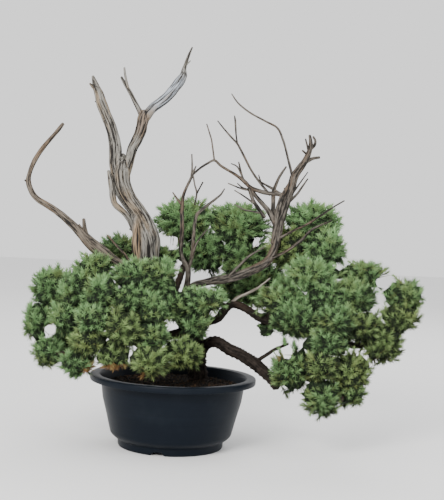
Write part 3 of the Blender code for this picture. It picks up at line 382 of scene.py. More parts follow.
def beads(routes, step, spread=1.0):
    """The points along several routes, with their radii."""
    paths = [carried(seen(route, spread), step) for route in routes]
    return np.vstack([np.column_stack((middle, radius)) for middle, radius, run in paths])


def unit(ways):
    return ways / np.linalg.norm(ways, axis=-1, keepdims=True)


def across(middle):
    """Unit vectors at each point of a path: along it, across it and VIEW, and across those two."""
    along = unit(np.gradient(middle, axis=0))
    side = unit(np.cross(along, VIEW))
    return along, side, np.cross(along, side)


def fibres(run, angle, turn, radius):
    """Relief of split wood, as a share of the radius: cusped clefts and cracks at even gaps round it,
    winding and fading along it, and swellings."""
    thick = float(np.max(radius))
    wound_on = angle + 0.3 * np.sin(0.043 * run + turn) + 0.1 * np.sin(0.13 * run + 2 * angle)
    wide, narrow = (max(1, round(6.283 * thick / gap)) for gap in (CLEFT_GAP, CRACK_GAP))
    deep = 0.55 + 0.45 * np.sin(0.035 * run + 2 * angle + turn)
    cleft = (1 - np.abs(np.sin(wide * wound_on / 2 + turn))) ** 3 * deep
    fine = 0.5 + 0.5 * np.sin(0.06 * run + 3 * angle)
    crack = (1 - np.abs(np.sin(narrow * wound_on / 2 + 2 * turn))) ** 3 * fine
    swell = np.sin(0.19 * run + angle + turn) + np.sin(0.43 * run - 2 * angle) * 0.6
    return np.clip(0.55 - 2.1 * cleft - 1.1 * crack + 0.25 * swell, -2.4, 1) / (thick + STOUT)


def plates(run, angle, turn, radius):
    """Relief of old bark, as a share of the radius: strips that join and part, knuckles and scales."""
    strips = np.abs(np.sin(2.5 * angle + 0.5 * np.sin(0.11 * run + turn) + turn)) ** 0.7 - 0.6
    cracks = np.sin(7 * angle + 0.21 * run + 2 * turn) * np.sin(0.37 * run + 3 * angle)
    knuckles = np.sin(0.16 * run + turn) * np.sin(0.071 * run + angle)
    scales = np.sin(1.25 * run + 2.2 * np.sin(3 * angle + turn)) * np.sin(5 * angle + 0.4 * run + turn)
    return 0.1 * strips + 0.045 * cracks + 0.07 * knuckles + 0.24 * np.clip(scales, 0, 1) ** 2


def stem(rows, relief, around, step, turn):
    """A limb: a circle of the path's radius, pushed out or in by the relief, carried along the path. Its
    marks are the grain, a place round and along it, and painted shade by how deep a point lies in a cleft."""
    middle, radius, run = carried(rows, step)
    along, side, other = across(middle)
    angle = np.linspace(0, 2 * np.pi, around, endpoint=False)
    push = relief(run[:, None], angle, turn, radius)
    reach = (radius[:, None] * (1 + push))[..., None]
    round_ = side[:, None] * np.cos(angle)[:, None] + other[:, None] * np.sin(angle)[:, None]
    rings = middle[:, None] + round_ * reach
    ends = middle[0] - along[0] * radius[0] * 0.4, middle[-1] + along[-1] * radius[-1] * 0.5
    points, faces = skin(rings, *ends)
    level, upright = radius[:, None] * np.cos(angle), radius[:, None] * np.sin(angle)
    flat = np.stack(np.broadcast_arrays(level, upright, run[:, None] + 40 * turn), -1) * MM
    grain = np.vstack((flat.reshape(-1, 3), flat.mean(axis=1)[[0, -1]]))
    # Painted shade: the deeper the relief pushes a point in, the darker it is painted.
    low = np.clip(-push * (np.max(radius) + STOUT) / 1.6, 0, 1)
    return points, faces, grain, np.append(low.ravel(), (0.5, 0.5))


def wooden(name, parts, finish, replaced, **marks):
    """A piece of several stems, with the marks that they carry."""
    starts = np.cumsum([0] + [len(part[0]) for part in parts])
    faces = [group + start for part, start in zip(parts, starts) for group in part[1]]
    points, grain, hollow = (np.concatenate([part[k] for part in parts]) for k in (0, 2, 3))
    new_piece(name, points, faces, finish, [replaced], grain=grain, hollow=hollow, **marks)


def detail(rows):
    """How many sides a limb gets, and how long its steps are, by its thickest point."""
    thick = np.max(np.asarray(rows)[:, -1])
    return next(fineness for least, fineness in DETAIL if thick > least)


def stems_of(routes, relief, spread=1.0):
    parts = []
    for turn, route in enumerate(routes):
        rows = seen(route, spread)
        around, step = detail(rows)
        parts.append(stem(rows, relief, around, step, 1.7 * turn + 0.4))
    return parts


bark = Finish("bark", 0.85, 0.12)
grain = bark.mark("grain", "Vector")
strips = bark.noise(bark.stretched(grain, (1, 1, 0.16)), 420, 5, 0.65)
flakes = bark.noise(grain, 240, 4, 0.6)
tint = bark.noise(bark.place(), 30, 2)
rough = (strips * 0.6 + flakes * 0.4).between(0.36, 0.66)
raised = bark.mix((0.004, 0.003, 0.0025), (0.034, 0.026, 0.021), rough)
warm = bark.mix(raised, (0.038, 0.022, 0.014), tint.between(0.5, 0.7) * 0.35)
# Painted shade: the bark goes near black in its cracks, by how deep they lie.
shaded_bark = bark.mix(warm, (0.003, 0.0022, 0.0018), bark.mark("hollow") * 0.8)
bare = bark.mix((0.075, 0.062, 0.05), (0.26, 0.235, 0.2), strips.between(0.38, 0.6))
bark.color(bark.mix(shaded_bark, bare, bark.mark("bleached")))
bark.bumps(strips * 0.7 + flakes * 0.5, 0.0016, 0.9)

# The sprays: 54 rounded masses of shoots, each on its own twig. Each is given here, because the twigs
# below need it, by its x, z and depth, and by half its width, height and depth; the needles come last.
SPRAYS = {
    "left": [(-158, 193, 4, 28, 29, 22), (-175, 150, -3, 19, 28, 18), (-160, 111, -10, 22, 20, 18),
      (-124, 99, -30, 25, 19, 18), (-128, 194, -20, 22, 28, 19), (-105, 220, -4, 27, 25, 20),
      (-97, 190, -34, 22, 23, 18), (-138, 155, -24, 24, 22, 18), (-105, 156, -44, 26, 21, 18),
      (-108, 128, -40, 24, 19, 18), (-78, 111, -38, 23, 19, 16), (-77, 246, 36, 31, 20, 16)],
    "mid": [(-57, 215, -26, 27, 23, 18), (-22, 213, -22, 24, 27, 18), (-60, 184, -38, 20, 18, 17),
      (-7, 185, -16, 22, 28, 16), (-31, 171, -34, 25, 23, 17), (-67, 146, -46, 25, 25, 18),
      (-31, 140, -34, 24, 23, 18), (-30, 106, -44, 28, 22, 18), (12, 118, -24, 28, 22, 17),
      (25, 157, -8, 25, 22, 17), (36, 187, -17, 34, 18, 15), (-24, 236, 34, 24, 20, 17)],
    "top": [(6, 286, 46, 39, 30, 21), (32, 248, 46, 42, 26, 18), (73, 284, 44, 44, 30, 21),
      (81, 244, 46, 41, 29, 19), (167, 293, 22, 41, 26, 20), (139, 258, 18, 28, 28, 18),
      (185, 261, 6, 28, 27, 18), (170, 224, -6, 43, 24, 18)],
    "right": [(237, 228, 8, 33, 19, 18), (289, 204, -3, 29, 22, 19), (285, 176, -8, 25, 19, 17),
      (263, 143, -4, 30, 30, 18), (225, 198, -8, 27, 25, 18), (189, 196, -12, 31, 24, 18),
      (138, 191, -6, 44, 24, 18), (237, 163, -12, 24, 20, 16), (203, 169, -26, 28, 21, 18),
      (151, 168, -18, 40, 22, 17), (192, 138, -27, 36, 18, 17), (147, 105, -18, 27, 36, 17),
      (188, 110, -30, 26, 20, 17), (225, 104, -16, 27, 25, 17), (190, 69, -26, 27, 27, 17),
      (225, 78, -12, 24, 20, 15), (112, 152, 2, 17, 12, 13)],
    "back": [(-110, 178, 46, 30, 28, 25), (-135, 132, 36, 26, 22, 22), (-52, 180, 58, 30, 28, 26),
      (92, 212, 42, 54, 32, 22), (205, 160, 42, 32, 28, 24)],
}
FULLER = 1.3
TWIG, TWIG_RISE = 1.4, 2.5
masses = {}
for side, rows in SPRAYS.items():
    for number, (x, z, depth, wide, high, deep) in enumerate(rows, 1):
        row = seen([(x, z, depth, 0)], SPREAD)[0]
        half = np.array((wide, deep * FULLER, high)) * (1 - row[1] / EYE[1])
        masses[f"{side}_{number:02d}"] = (row[:3], half)
bearing = [rows for key, rows in LIMBS.items() if not key.startswith(("pale", "sawn", "knob"))]
limb_points = np.vstack((beads(bearing, 3.0, SPREAD), beads([TRUNK[4:]], 3.0)))
twigs = []
for middle, half in masses.values():
    near = limb_points[np.argmin(np.linalg.norm(limb_points[:, :3] - middle, axis=1))]
    bend = (near[:3] + middle) / 2 + (0, 0, TWIG_RISE)
    thick = min(near[3], TWIG * 1.6)
    twigs.append(np.array([(*near[:3], thick), (*bend, (thick + TWIG) / 2), (*middle, TWIG)]))
living = stems_of([TRUNK] + ROOTS, plates) + stems_of(LIMBS.values(), plates, SPREAD)
living += [stem(rows, plates, 12, 1.6, 0.9 * i) for i, rows in enumerate(twigs)]
names = ["trunk"] * (1 + len(ROOTS)) + list(LIMBS) + ["twig"] * len(twigs)
bleached = [np.full(len(part[0]), float(key.startswith("pale"))) for key, part in zip(names, living)]
wooden("living_wood", living, bark, "trunk", bleached=np.concatenate(bleached))

# The tall deadwood: the old leader, dead and bleached silver, split into strands that wind round each
# other, with painted shade in the clefts between them, and with a fork of two arms above, the upper right
# one with a painted highlight. It grows out of the top of the trunk.
TALL_JIN = [(-13, 190, 15, 5.5), (-21, 200, 14, 6), (-29, 211, 13, 13), (-41, 235, 12, 15.5),
    (-42, 256, 11, 16.7), (-44.5, 270, 10, 15), (-49.5, 284, 8, 11.6), (-56.5, 296, 7, 10.3),
    (-66, 307, 6, 10.3), (-73, 318, 5, 11.2), (-77, 330, 4, 11.4), (-78, 342, 3, 11.6),
    (-77.5, 352, 2, 10.6), (-77, 359, 2.5, 7.5), (-76.5, 366, 2.5, 3)]
TALL_LEFT = [(-81, 338, 3, 7.4), (-84.5, 352, 2, 8), (-85.5, 364, 2, 7.8), (-86, 374, 1, 7.6),
    (-88, 384, 1, 7.2), (-91, 394, 0, 6.8), (-94.5, 403, 0, 6.7), (-99, 412, -1, 6.7), (-103, 421, -1, 7),
    (-107, 430, -2, 7), (-110, 440, -2, 6), (-114, 449, -2, 4.7), (-117, 457, -2, 3),
    (-119, 462.5, -2, 1.6)]
TALL_RIGHT = [(-73.5, 338, 2, 6), (-70, 352, 2, 6.2), (-67.5, 363, 2, 6), (-65, 374, 2, 6),
    (-60.5, 384, 2, 6.5), (-56.5, 394, 1, 6.9), (-54, 404, 1, 7.2), (-52.5, 413, 0, 7.6),
    (-50, 421, 0, 6.2)]
TALL_STRANDS = [
    [(-51, 413, 0, 6), (-42.5, 424.5, 0, 5.6), (-33, 432.5, -1, 5.8), (-23.5, 441.5, -2, 5.9),
     (-15, 452, -2, 5.9), (-9, 461, -3, 5.9), (-5, 468.5, -3, 4.8), (-4.5, 475, -3, 3), (-3, 481, -3, 2.2),
     (-1, 488, -3, 1.9), (1.5, 496, -4, 1.5), (4.9, 504.5, -4, 0.9)],
    [(-55, 416, 0, 3.6), (-60, 425, 0, 2.9), (-65.5, 434.5, 1, 2.6), (-70.5, 443, 1, 2.5),
     (-75.5, 451, 2, 2.2), (-80.5, 459, 2, 1.8), (-83, 463, 2, 1.4)],
    [(-73, 447.5, 1, 1.6), (-76.5, 459, 0, 1.4), (-78.5, 467, 0, 1.3), (-79.7, 475, 0, 1.1)],
    [(-94, 344.5, -2, 1.6), (-90.5, 333, -3, 3.4), (-88.5, 322, -3, 3.7), (-87, 312, -2, 3.9),
     (-84, 303, 0, 3.8), (-77.5, 297, 2, 3.7), (-70, 290.5, 4, 3.6), (-63.5, 282, 5, 3.7),
     (-58, 272, 6, 4), (-53.5, 262, 7, 4.2)],
    [(-60, 292, -1, 2.6), (-57, 280, -5, 3.9), (-55.5, 266, -6, 4.6), (-55, 252, -6, 4.9),
     (-53, 238, -4, 4.9), (-46, 220, 2, 4)],
    [(-111, 442, -2, 2.4), (-118, 449, -3, 2), (-122.5, 453, -3, 1)],
    [(-105, 425, -2, 2), (-114.5, 431, -3, 0.9)],
    [(-55, 269, -4, 2.2), (-64, 272, -5, 1)],
    [(-2, 482, -3, 1.2), (3.5, 487.5, -3, 0.6)],
]
STRAND_TAPER = 22


def wound(route, count, twist, turn, open_share=0.5):
    """A stem of several strands, each a grooved tube that winds round the route's path. Points near the
    path get painted shade, so that the clefts between strands go dark."""
    middle, radius, run = carried(seen(route), 1.3)
    along, side, other = across(middle)
    parts = []
    for k in range(count):
        phase = 2 * np.pi * k / count + turn
        wind = phase + twist * run / run[-1] + 0.25 * np.sin(0.05 * run + phase)
        thin = 0.5 + 0.07 * np.sin(2.3 * phase + 1)
        offset = side * np.cos(wind)[:, None] + other * np.sin(wind)[:, None]
        offset = offset * (radius * open_share)[:, None]
        taper = np.clip((run[-1] - run) / STRAND_TAPER, 0.04, 1) ** 0.5
        rows = np.column_stack((middle + offset * taper[:, None], radius * thin * taper))
        around, step = detail(rows)
        points, faces, grain, low = stem(rows, fibres, around, step, 1.3 * phase + 0.2)
        # Painted shade: points near the path, deep between the strands, go dark, with some of the clefts'
        # own painted shade.
        nearest = np.argmin(np.linalg.norm(points[:, None, :] - middle[None, ::3], axis=2), axis=1) * 3
        share = np.linalg.norm(points - middle[nearest], axis=1) / radius[nearest]
        parts.append((points, faces, grain, np.maximum(low * 0.6, np.clip((0.86 - share) / 0.3, 0, 1))))
    return parts


def deadwood(name, pale, dull, dark, warm, much, long=0.05, stains_and_highlight=()):
    """Bleached wood: fine fibres from dull to pale, drawn out along the grain by 1 / long, warm streaks,
    dark cracks, and painted shade, near black, in the clefts and between strands. A stain is a place, half
    sizes, a colour and its share; a painted highlight is given the same way."""
    finish = Finish(name, 0.7, 0.25)
    grain = finish.mark("grain", "Vector")
    hair = finish.noise(finish.stretched(grain, (1, 1, long)), 1000, 3, 0.6)
    split = finish.noise(finish.stretched(grain, (1, 1, long)), 430, 3, 0.65)
    streak = finish.noise(finish.stretched(grain, (1, 1, 0.1)), 130, 2)
    patch = finish.noise(finish.place(), 24, 3)
    # Stains, and one painted highlight, are mixed into the pale colour.
    for middle, half, color, share in stains_and_highlight:
        pale = finish.mix(pale, color, finish.near(middle, half) * share)
    body = finish.mix(dull, pale, (split * 0.55 + hair * 0.3 + streak * 0.25).between(0.45, 0.62))
    body = finish.mix(body, warm, streak.between(0.46, 0.6) * patch.between(0.38, 0.6) * much)
    body = finish.mix(body, dark, split.between(0.49, 0.43) * 0.95)
    body = finish.mix(body, dark, hair.between(0.47, 0.38) * 0.7)
    # Painted shade: near black in the clefts and between the strands.
    finish.color(finish.mix(body, dark, finish.mark("hollow") * 0.94))
    finish.bumps(hair * 0.4 + split * 0.9, 0.0014, 0.9)
    return finish


# The first entry is a painted highlight: the top of the right arm and its strands paler and bluer, as if
# lit. The other two are brown stains.
STAINS_AND_HIGHLIGHT = [((-25, -2, 444), (42, 30, 42), (0.345, 0.385, 0.44), 0.95),
          ((-53, 0, 406), (12, 20, 26), (0.17, 0.12, 0.09), 0.8),
          ((-54, -14, 250), (9, 22, 44), (0.3, 0.2, 0.11), 0.8)]
silver = deadwood("silver_deadwood", (0.212, 0.203, 0.181), (0.066, 0.057, 0.044), (0.004, 0.003, 0.003),
                  (0.2, 0.145, 0.088), 0.75, stains_and_highlight=STAINS_AND_HIGHLIGHT)
CORE = 0.93
parts = wound(TALL_JIN, 5, -1.4, 0.3) + wound(TALL_LEFT, 3, 0.8, 0.9) + wound(TALL_RIGHT, 3, -0.8, 0.2)
cores = [np.array(route) * (1, 1, 1, CORE) for route in (TALL_JIN, TALL_LEFT, TALL_RIGHT)]
parts += stems_of(cores, fibres) + stems_of(TALL_STRANDS, fibres)
wooden("tall_deadwood", parts, silver, "tall_jin")

# The left deadwood: one long dead branch that leaves the trunk to the left and hooks upwards, browner
# than the leader, with a few broken stubs.
LEFT_JIN = [(-28, 207, 11, 3.6), (-42, 213, 6, 4.6), (-52, 218, 2, 5.4), (-62, 222, -2, 5.6),
    (-71, 225.5, -4, 5.8), (-81, 230, -6, 6.7), (-91, 236, -8, 7.4), (-101, 243.5, -10, 7.8),
    (-111.5, 251, -12, 7.4), (-119.5, 258, -14, 6.5), (-127, 265.5, -15, 5.6), (-134, 272, -16, 4.9),
    (-142, 278.5, -17, 4.5), (-150, 285, -18, 4.3), (-160, 292, -19, 4), (-170, 297.5, -19, 3.8),
    (-180, 303, -20, 3.6), (-187.5, 310, -20, 3.4), (-192.5, 319, -20, 3.3), (-194.5, 327, -20, 3.1),
    (-193.5, 335, -20, 2.7), (-191, 344, -20, 2.7), (-187.5, 353, -20, 2.9), (-182.5, 362, -20, 2.8),
    (-176.5, 371, -20, 2.8), (-170, 379.5, -20, 2.5), (-163, 388, -20, 2.3), (-158, 394.5, -20, 2.4),
    (-153.5, 401, -20, 1.9)]
LEFT_STUBS = [
    [(-193.5, 325, -20, 2.2), (-199.1, 327.4, -20, 1)],
    [(-117, 257, -14, 3.5), (-120.5, 270, -16, 2.6), (-122.5, 282, -17, 1.9)],
    [(-121, 265, -15, 1.7), (-128, 275, -17, 0.8)],
    [(-60, 225, -4, 2), (-68, 239, -8, 1.4), (-80, 251, -9, 1.2), (-92, 263, -10, 0.8)],
]
ashen = deadwood("grey_deadwood", (0.145, 0.121, 0.095), (0.05, 0.039, 0.029), (0.006, 0.005, 0.004),
                 (0.13, 0.083, 0.048), 0.7, 0.07)
parts = wound(LEFT_JIN, 2, 5.0, 1.1, 0.34)
parts += stems_of([LEFT_JIN], fibres) + stems_of(LEFT_STUBS, fibres)
wooden("left_deadwood", parts, ashen, "left_jin")

# The arch of deadwood: a dead branch that sweeps to the right and then up, grey-brown, with a fan of
# thin bare twigs.
ARCH = [(-1, 178, 18, 4.6), (11, 194, 12, 5), (22, 204.5, 8, 4.7), (34, 208.5, 4, 4.4), (47, 212, 1, 4.9),
    (60, 214, -2, 5.3), (73, 218, -4, 5.5), (86, 223.5, -5, 5.5), (98, 229, -5, 5.5),
    (107.5, 235, -4, 5.3), (114.5, 242.5, -3, 5), (119.5, 253, -2, 4.9), (122.5, 265, 0, 4.9),
    (124.5, 277, 1, 4.9), (126.5, 290, 2, 5.1), (129, 303, 3, 5.4), (132, 314, 3, 5.5),
    (135.5, 325, 3, 5.5), (138.5, 337, 3, 5.3), (141.5, 348, 4, 5), (148, 359, 4, 4.6),
    (154, 368.5, 5, 3.9), (158, 378, 5, 3.3), (160, 387, 5, 2.8), (159.5, 394, 5, 2.2), (158, 401, 5, 1.5)]
ARCH_TWIGS = [
    [(159, 383, 5, 2.2), (164.5, 388.5, 6, 1.9), (165.5, 394, 6, 1.5), (162.5, 399.5, 6, 1.2)],
    [(154, 367, 5, 2.8), (163, 371.5, 6, 2), (172, 373.5, 7, 1.5)],
    [(156.5, 376, 5, 1.6), (149.5, 381.5, 4, 1)],
    [(157, 383, 5, 1.4), (153, 396, 5, 0.9)],
    [(117.5, 262, -3, 2.4), (121, 291, -1, 3.4), (123, 305, 0, 3.6), (126, 317, 0, 3.4),
     (130, 328, 1, 2.8), (136, 339, 2, 2)],
    [(120, 287, 0, 3.4), (111, 302.5, 0, 3.2), (103, 311, 0, 2.8), (95, 319.5, -1, 2.5),
     (88, 328, -1, 2.3), (81, 337, -2, 2.1), (74, 343, -2, 1.7)],
    [(119.5, 292, 3, 2.8), (116.5, 305, 4, 2.7), (116, 316, 4, 2.6), (116, 328, 4, 2.4),
     (118.5, 337, 4, 1.9), (121.5, 345, 4, 1.7), (126, 353, 4, 1.5), (130.5, 360, 4, 1.1)],
    [(106, 294.5, -3, 2.3), (101, 301, -3, 2.3), (95, 309, -3, 2.2), (90, 317, -2, 2.1),
     (84, 331, -1, 1.9)],
    [(131, 318, 2, 3), (126.5, 323.5, 2, 2.9), (119, 325, 2, 2.7), (107, 325.5, 1, 2.5), (96, 328, 0, 2.5),
     (87, 331.5, -1, 2.4), (78, 339, -2, 2.2), (71, 344, -2, 1.9), (63, 349, -3, 1.7), (48, 357, -4, 1.6),
     (39.5, 363.5, -4, 1.5), (31, 359.5, -3, 1.4), (22.5, 353.5, -3, 1.4), (13.5, 345, -2, 1.4)],
    [(39.5, 362.5, -4, 1.2), (35, 387, -5, 1), (31.5, 398, -5, 0.9), (27.5, 409, -5, 0.7)],
    [(112, 323, 2, 1.7), (104.5, 331, 3, 1.6), (99, 337, 3, 1.5), (91, 347, 3, 1.4), (83.5, 358, 4, 1.4),
     (74, 375, 4, 1.4), (67.5, 385.5, 5, 1.3), (59.5, 393.5, 5, 1.2), (50, 403.5, 5, 1),
     (41, 413.5, 5, 0.7)],
    [(68, 384.5, 5, 1), (65.5, 395, 5, 1), (63.5, 414, 4, 1.2), (62, 421, 4, 0.7)],
    [(127, 323.5, 3, 1.8), (115, 331, 4, 1.6), (108, 334.5, 4, 1.4), (97, 340, 4, 1)],
    [(99.5, 338, 3.5, 1.1), (96, 348, 2, 0.7)],
    [(139, 347, 4, 1.8), (133, 367, 5, 1.4), (129, 381, 6, 1.3), (124.5, 393.5, 6, 1.3),
     (117, 408, 6, 1.2), (101, 416, 7, 1.1), (80, 426.5, 7, 1.1), (66, 437, 8, 1), (57, 448.5, 8, 0.6)],
    [(117.5, 406.5, 6, 1), (113.5, 411.5, 6, 0.7)],
    [(78, 338, -2, 1.5), (74, 349, -3, 1.3), (70, 363, -3, 0.8)],
    [(74.5, 347, -3, 1.1), (68.5, 357, -4, 0.9), (60.5, 360.5, -4, 0.6)],
    [(89, 330, 0, 1.4), (79, 328.5, 1, 1.1), (58, 335.5, 1, 0.7)],
    [(84, 328.5, 0, 1.2), (76, 331, 3, 1), (69.5, 336, 3, 0.7)],
    [(93, 311, -3, 1.3), (79, 320, -4, 1), (66.5, 327, -4, 0.7)],
    [(101, 300, -3, 1.4), (90, 301.5, -6, 1.1), (79.5, 303, -8, 1), (67.5, 309.5, -8, 0.7)],
    [(134, 318, 5, 1.6), (143, 331, 7, 1.2), (158, 354.5, 8, 0.7)],
    [(132, 311, 5, 1.8), (145, 325, 8, 1.4), (150.5, 333.5, 9, 1.3), (158.5, 346, 9, 0.8)],
    [(134, 325, 1, 1.5), (129, 333, 0, 0.8)],
    [(116, 243, -5, 2), (135.5, 253, -15, 1.6), (146, 261, -17, 1.6), (155, 269, -17, 1.5),
     (168.5, 283, -10, 1.4), (191.5, 294.5, -6, 0.9)],
    [(124.5, 268, -2, 1.8), (134, 274, -6, 1.4), (146, 281, -6, 1.3), (163.5, 290.5, -6, 1.3),
     (191.5, 311, -4, 1), (206, 320.5, -3, 0.8)],
    [(60, 214, -4, 2), (69, 223.5, -8, 1.6), (80, 235.5, -6, 1.5), (89.5, 245, -4, 1.4),
     (107, 257, 0, 0.8)],
    [(9, 192, 13, 3.8), (12.5, 210, 8, 3.5), (12, 226, 5, 3.3), (6, 235, 4, 2.7), (2.5, 246, 3, 2.5),
     (2.6, 262, 0, 2.5), (2.2, 282, -2, 2.4), (1.2, 304, -3, 2.3), (3, 320, -3, 1.9), (11, 340.5, -2, 1.6),
     (14, 349, -2, 1.3), (16.5, 355.5, -2, 0.7)],
    [(11, 339, -2, 1.3), (11.6, 354, -3, 1.1), (10.5, 370, -3, 0.8)],
    [(0.5, 306, -3, 1.7), (-6, 313.5, -4, 1.3), (-11.5, 321, -4, 0.7)],
    [(13, 344, -2, 1.1), (16, 331, -1, 1), (19, 321, 0, 1.1), (17, 306, 3, 0.9)],
    [(18.7, 319.5, 0, 1), (21.5, 326, -1, 0.9), (26, 335.5, -2, 0.9)],
    [(11.5, 222, 6, 2.8), (16, 238, 2, 2.4), (17.5, 252, 0, 2.4), (17.5, 266, -2, 2.3), (19.5, 291, -3, 2),
     (26, 300, -4, 1.8), (42, 314, -5, 1.4), (49.5, 321, -5, 1.1), (54, 328.5, -5, 0.7)],
    [(16.5, 238, 1, 1.6), (22, 258.5, -5, 1.2), (34, 276, -5, 0.8)],
]
brown = deadwood("brown_deadwood", (0.108, 0.094, 0.078), (0.031, 0.025, 0.02), (0.005, 0.004, 0.003),
                 (0.085, 0.052, 0.03), 0.7, 0.14)
parts = wound(ARCH, 2, 4.0, 0.6, 0.34)
parts += stems_of([ARCH], fibres) + stems_of(ARCH_TWIGS, fibres)
wooden("arch_deadwood", parts, brown, "arch_jin")

# The needles: short stiff leaves, thick on the last 15 mm of every shoot, blue-green at the tips, olive
# within, and dead brown over the rim, with painted light and shade over each mass and darker copies of the
# colours at the back. A mass of shoots round a dark core of painted shade is one piece. HOLES are the gaps
# that show the background through the foliage: their x, z and radius, in the pot's own plane.
NEEDLE = 7.3
NEEDLE_WIDE = 1.5
PAIRS = 12
BARE = 0.22
SHOOT_LEAST, SHOOT_MORE = 13, 7
SHOOT_AREA = 57.0
FOOT_WITHIN = 0.8
PAST_WALL = 3.5
LEAN_FOOT, LEAN_LESS = 66, 44
MELT = 4.0
GOLDEN = 2.39996
CORE_ROWS, CORE_AROUND, CORE_SHRINKS = 13, 26, 14
CORE_SHARE, CORE_WITHIN, CORE_CLEAR = 0.66, 0.9, 3.5
# SHADE is painted shade given to each group of masses: least on top, most on the right.
SHADE = {"left": 0.55, "mid": 0.55, "top": 0.25, "right": 0.7, "back": 0.55}
HOLES = [(-160, 140, 6.5), (-1, 147, 5.5), (4, 202, 5), (4, 212, 6), (-20, 259, 4.5), (-12, 259, 4.5),
    (-5, 259, 4.5), (-10.5, 249, 2.5), (97, 259, 4), (98, 267, 2.5), (25, 215, 4), (33, 242, 3),
    (258, 218, 6), (264, 224, 6), (60, 150, 16), (75, 122, 14), (95, 146, 12), (110, 128, 14),
    (142, 127, 8), (104, 112, 6)]
OLIVE = ("left_10", "left_11", "mid_06", "mid_08", "mid_09", "right_03", "right_04", "right_08",
         "right_13", "right_14", "top_06")
# These masses at the back take the darker copy of the needle colours: painted shade.
SHADED_MASSES = ("left_12", "back_01", "back_02", "back_03", "back_05")
RIM_TOP, RIM_EDGE, RIM_INNER = 91.5, 106.5, 85.0
OVER_SOIL = 7
INSIDE_BOX = 0.3
WOOD_NEAR, MASS_NEAR, WALL_NEAR = 75, 110, 60
bare = [TRUNK, TALL_JIN, TALL_LEFT, TALL_RIGHT, LEFT_JIN, ARCH, *TALL_STRANDS, *LEFT_STUBS, *ARCH_TWIGS]
shown = "arch", "low", "knob", "fork", "sawn", "sawn_arch", "sawn_tip", "pale_twig", "pale_twig_side"
wood_points = np.vstack((beads(bare, 2.5), beads([LIMBS[key] for key in shown], 2.5, SPREAD)))


def needle_finish(name, shaded_inner, outer, tip):
    """Needles: the inner colour, painted shade, where the mark lit is low, deep in the mass and on its
    shaded side, and the outer colour where it is high, at its face; lighter at each tip, partly fresh
    growth and partly painted highlight; near black with green specks, painted shade, where lit is lowest;
    more olive in patches and on the low right limb, and dead brown by mark."""
    finish = Finish(name, 0.5, 0.22)
    leaf = finish.node("ShaderNodeSeparateXYZ", {"Vector": finish.mark("leaf", "Vector")})
    along, tone, dry = (Value(finish, leaf.socket.node.outputs[k]) for k in range(3))
    lit = finish.mark("lit")
    patch = finish.noise(finish.place(), 33, 2)
    # Painted shade and light: from the dark inner colour where lit is low to the outer colour where it is
    # high.
    body = finish.mix(shaded_inner, outer, (lit * 0.75 + tone * 0.45).between(0.25, 1.05))
    older = finish.near((185, -15, 85), (90, 60, 66))
    body = finish.mix(body, (0.21, 0.24, 0.07), patch.between(0.46, 0.68) * 0.45 + older * 0.3)
    # Lighter tips: fresh growth, and a painted highlight, as the share grows with lit.
    body = finish.mix(body, tip, along * lit * (tone * 0.7 + 0.3))
    speck = finish.noise(finish.place((1, 1, 0.7)), 420, 2, 0.6)
    # Painted shade: near black with green specks where lit is lowest, which also colours the dark cores.
    shade = finish.mix((0.004, 0.007, 0.003), shaded_inner, speck.between(0.46, 0.62) * 0.8)
    body = finish.mix(body, shade, (0.42 - lit * 0.9).between(0.0, 0.42))
    dead = finish.mix((0.17, 0.08, 0.03), (0.38, 0.195, 0.08), along)
    finish.color(finish.mix(body, dead, dry))
    finish.feed(finish.shader, {"Roughness": 0.9 - lit * 0.4})
    return finish


# Each kind is the inner colour, painted shade deep in a mass, then the outer and the tip colour. The third
# kind is a darker copy of the first, painted shade for masses at the back.
LEAVES = {
    "needles_fresh": [(0.026, 0.05, 0.018), (0.15, 0.29, 0.108), (0.31, 0.52, 0.235)],
    "needles_olive": [(0.031, 0.048, 0.017), (0.17, 0.268, 0.09), (0.36, 0.51, 0.205)],
    "needles_deep": [(0.019, 0.038, 0.015), (0.1, 0.2, 0.078), (0.24, 0.42, 0.19)],
}
leaf_finishes = {kind: needle_finish(kind, *colors) for kind, colors in LEAVES.items()}


def walls_of(name):
    """The planes between a mass and its neighbours: unit vectors towards them, and how far each plane is.
    It shares the way between two middles as their ellipsoids do."""
    middle, half = masses[name]
    others = np.array([masses[key][0] for key in masses if key != name]) - middle
    halves = np.array([masses[key][1] for key in masses if key != name])
    far = np.linalg.norm(others, axis=1)
    ways = others / far[:, None]
    own, their = 1 / np.linalg.norm(ways / half, axis=1), 1 / np.linalg.norm(ways / halves, axis=1)
    close = far < half.max() + halves.max(axis=1) + WALL_NEAR
    return ways[close], (far * own / (own + their))[close]


def extent(ways, name, walls):
    """How far a mass goes along each way, and how far the nearest wall is. It goes to where the nearness
    of all masses, exp(MELT * (1 - r)) for each with r = 1 on its ellipsoid, adds up to 1."""
    middle, half = masses[name]
    lean = ways @ walls[0].T
    free = np.where(lean > 0.01, walls[1] / np.maximum(lean, 0.01), 99).min(axis=1)
    own = 1 / np.linalg.norm(ways / half, axis=1)
    steps = np.linspace(0.9, 1.9, 41)
    spots = middle + ways[:, None] * (own[:, None] * steps)[..., None]
    near = 0
    for other, size in masses.values():
        if np.linalg.norm(other - middle) < MASS_NEAR:
            near = near + np.exp(MELT * (1 - np.linalg.norm((spots - other) / size, axis=2)))
    out = near < 1
    reach = own * steps[np.where(out.any(axis=1), out.argmax(axis=1), 40)]
    return reach, free


def even_ways(count, spin):
    """Ways spread evenly over a ball: equal steps of height, each turned on by the golden angle."""
    height = 1 - (2 * np.arange(count) + 1) / count
    flat, turn = np.sqrt(1 - height ** 2), np.arange(count) * GOLDEN + spin
    return np.stack((flat * np.cos(turn), flat * np.sin(turn), height), -1)


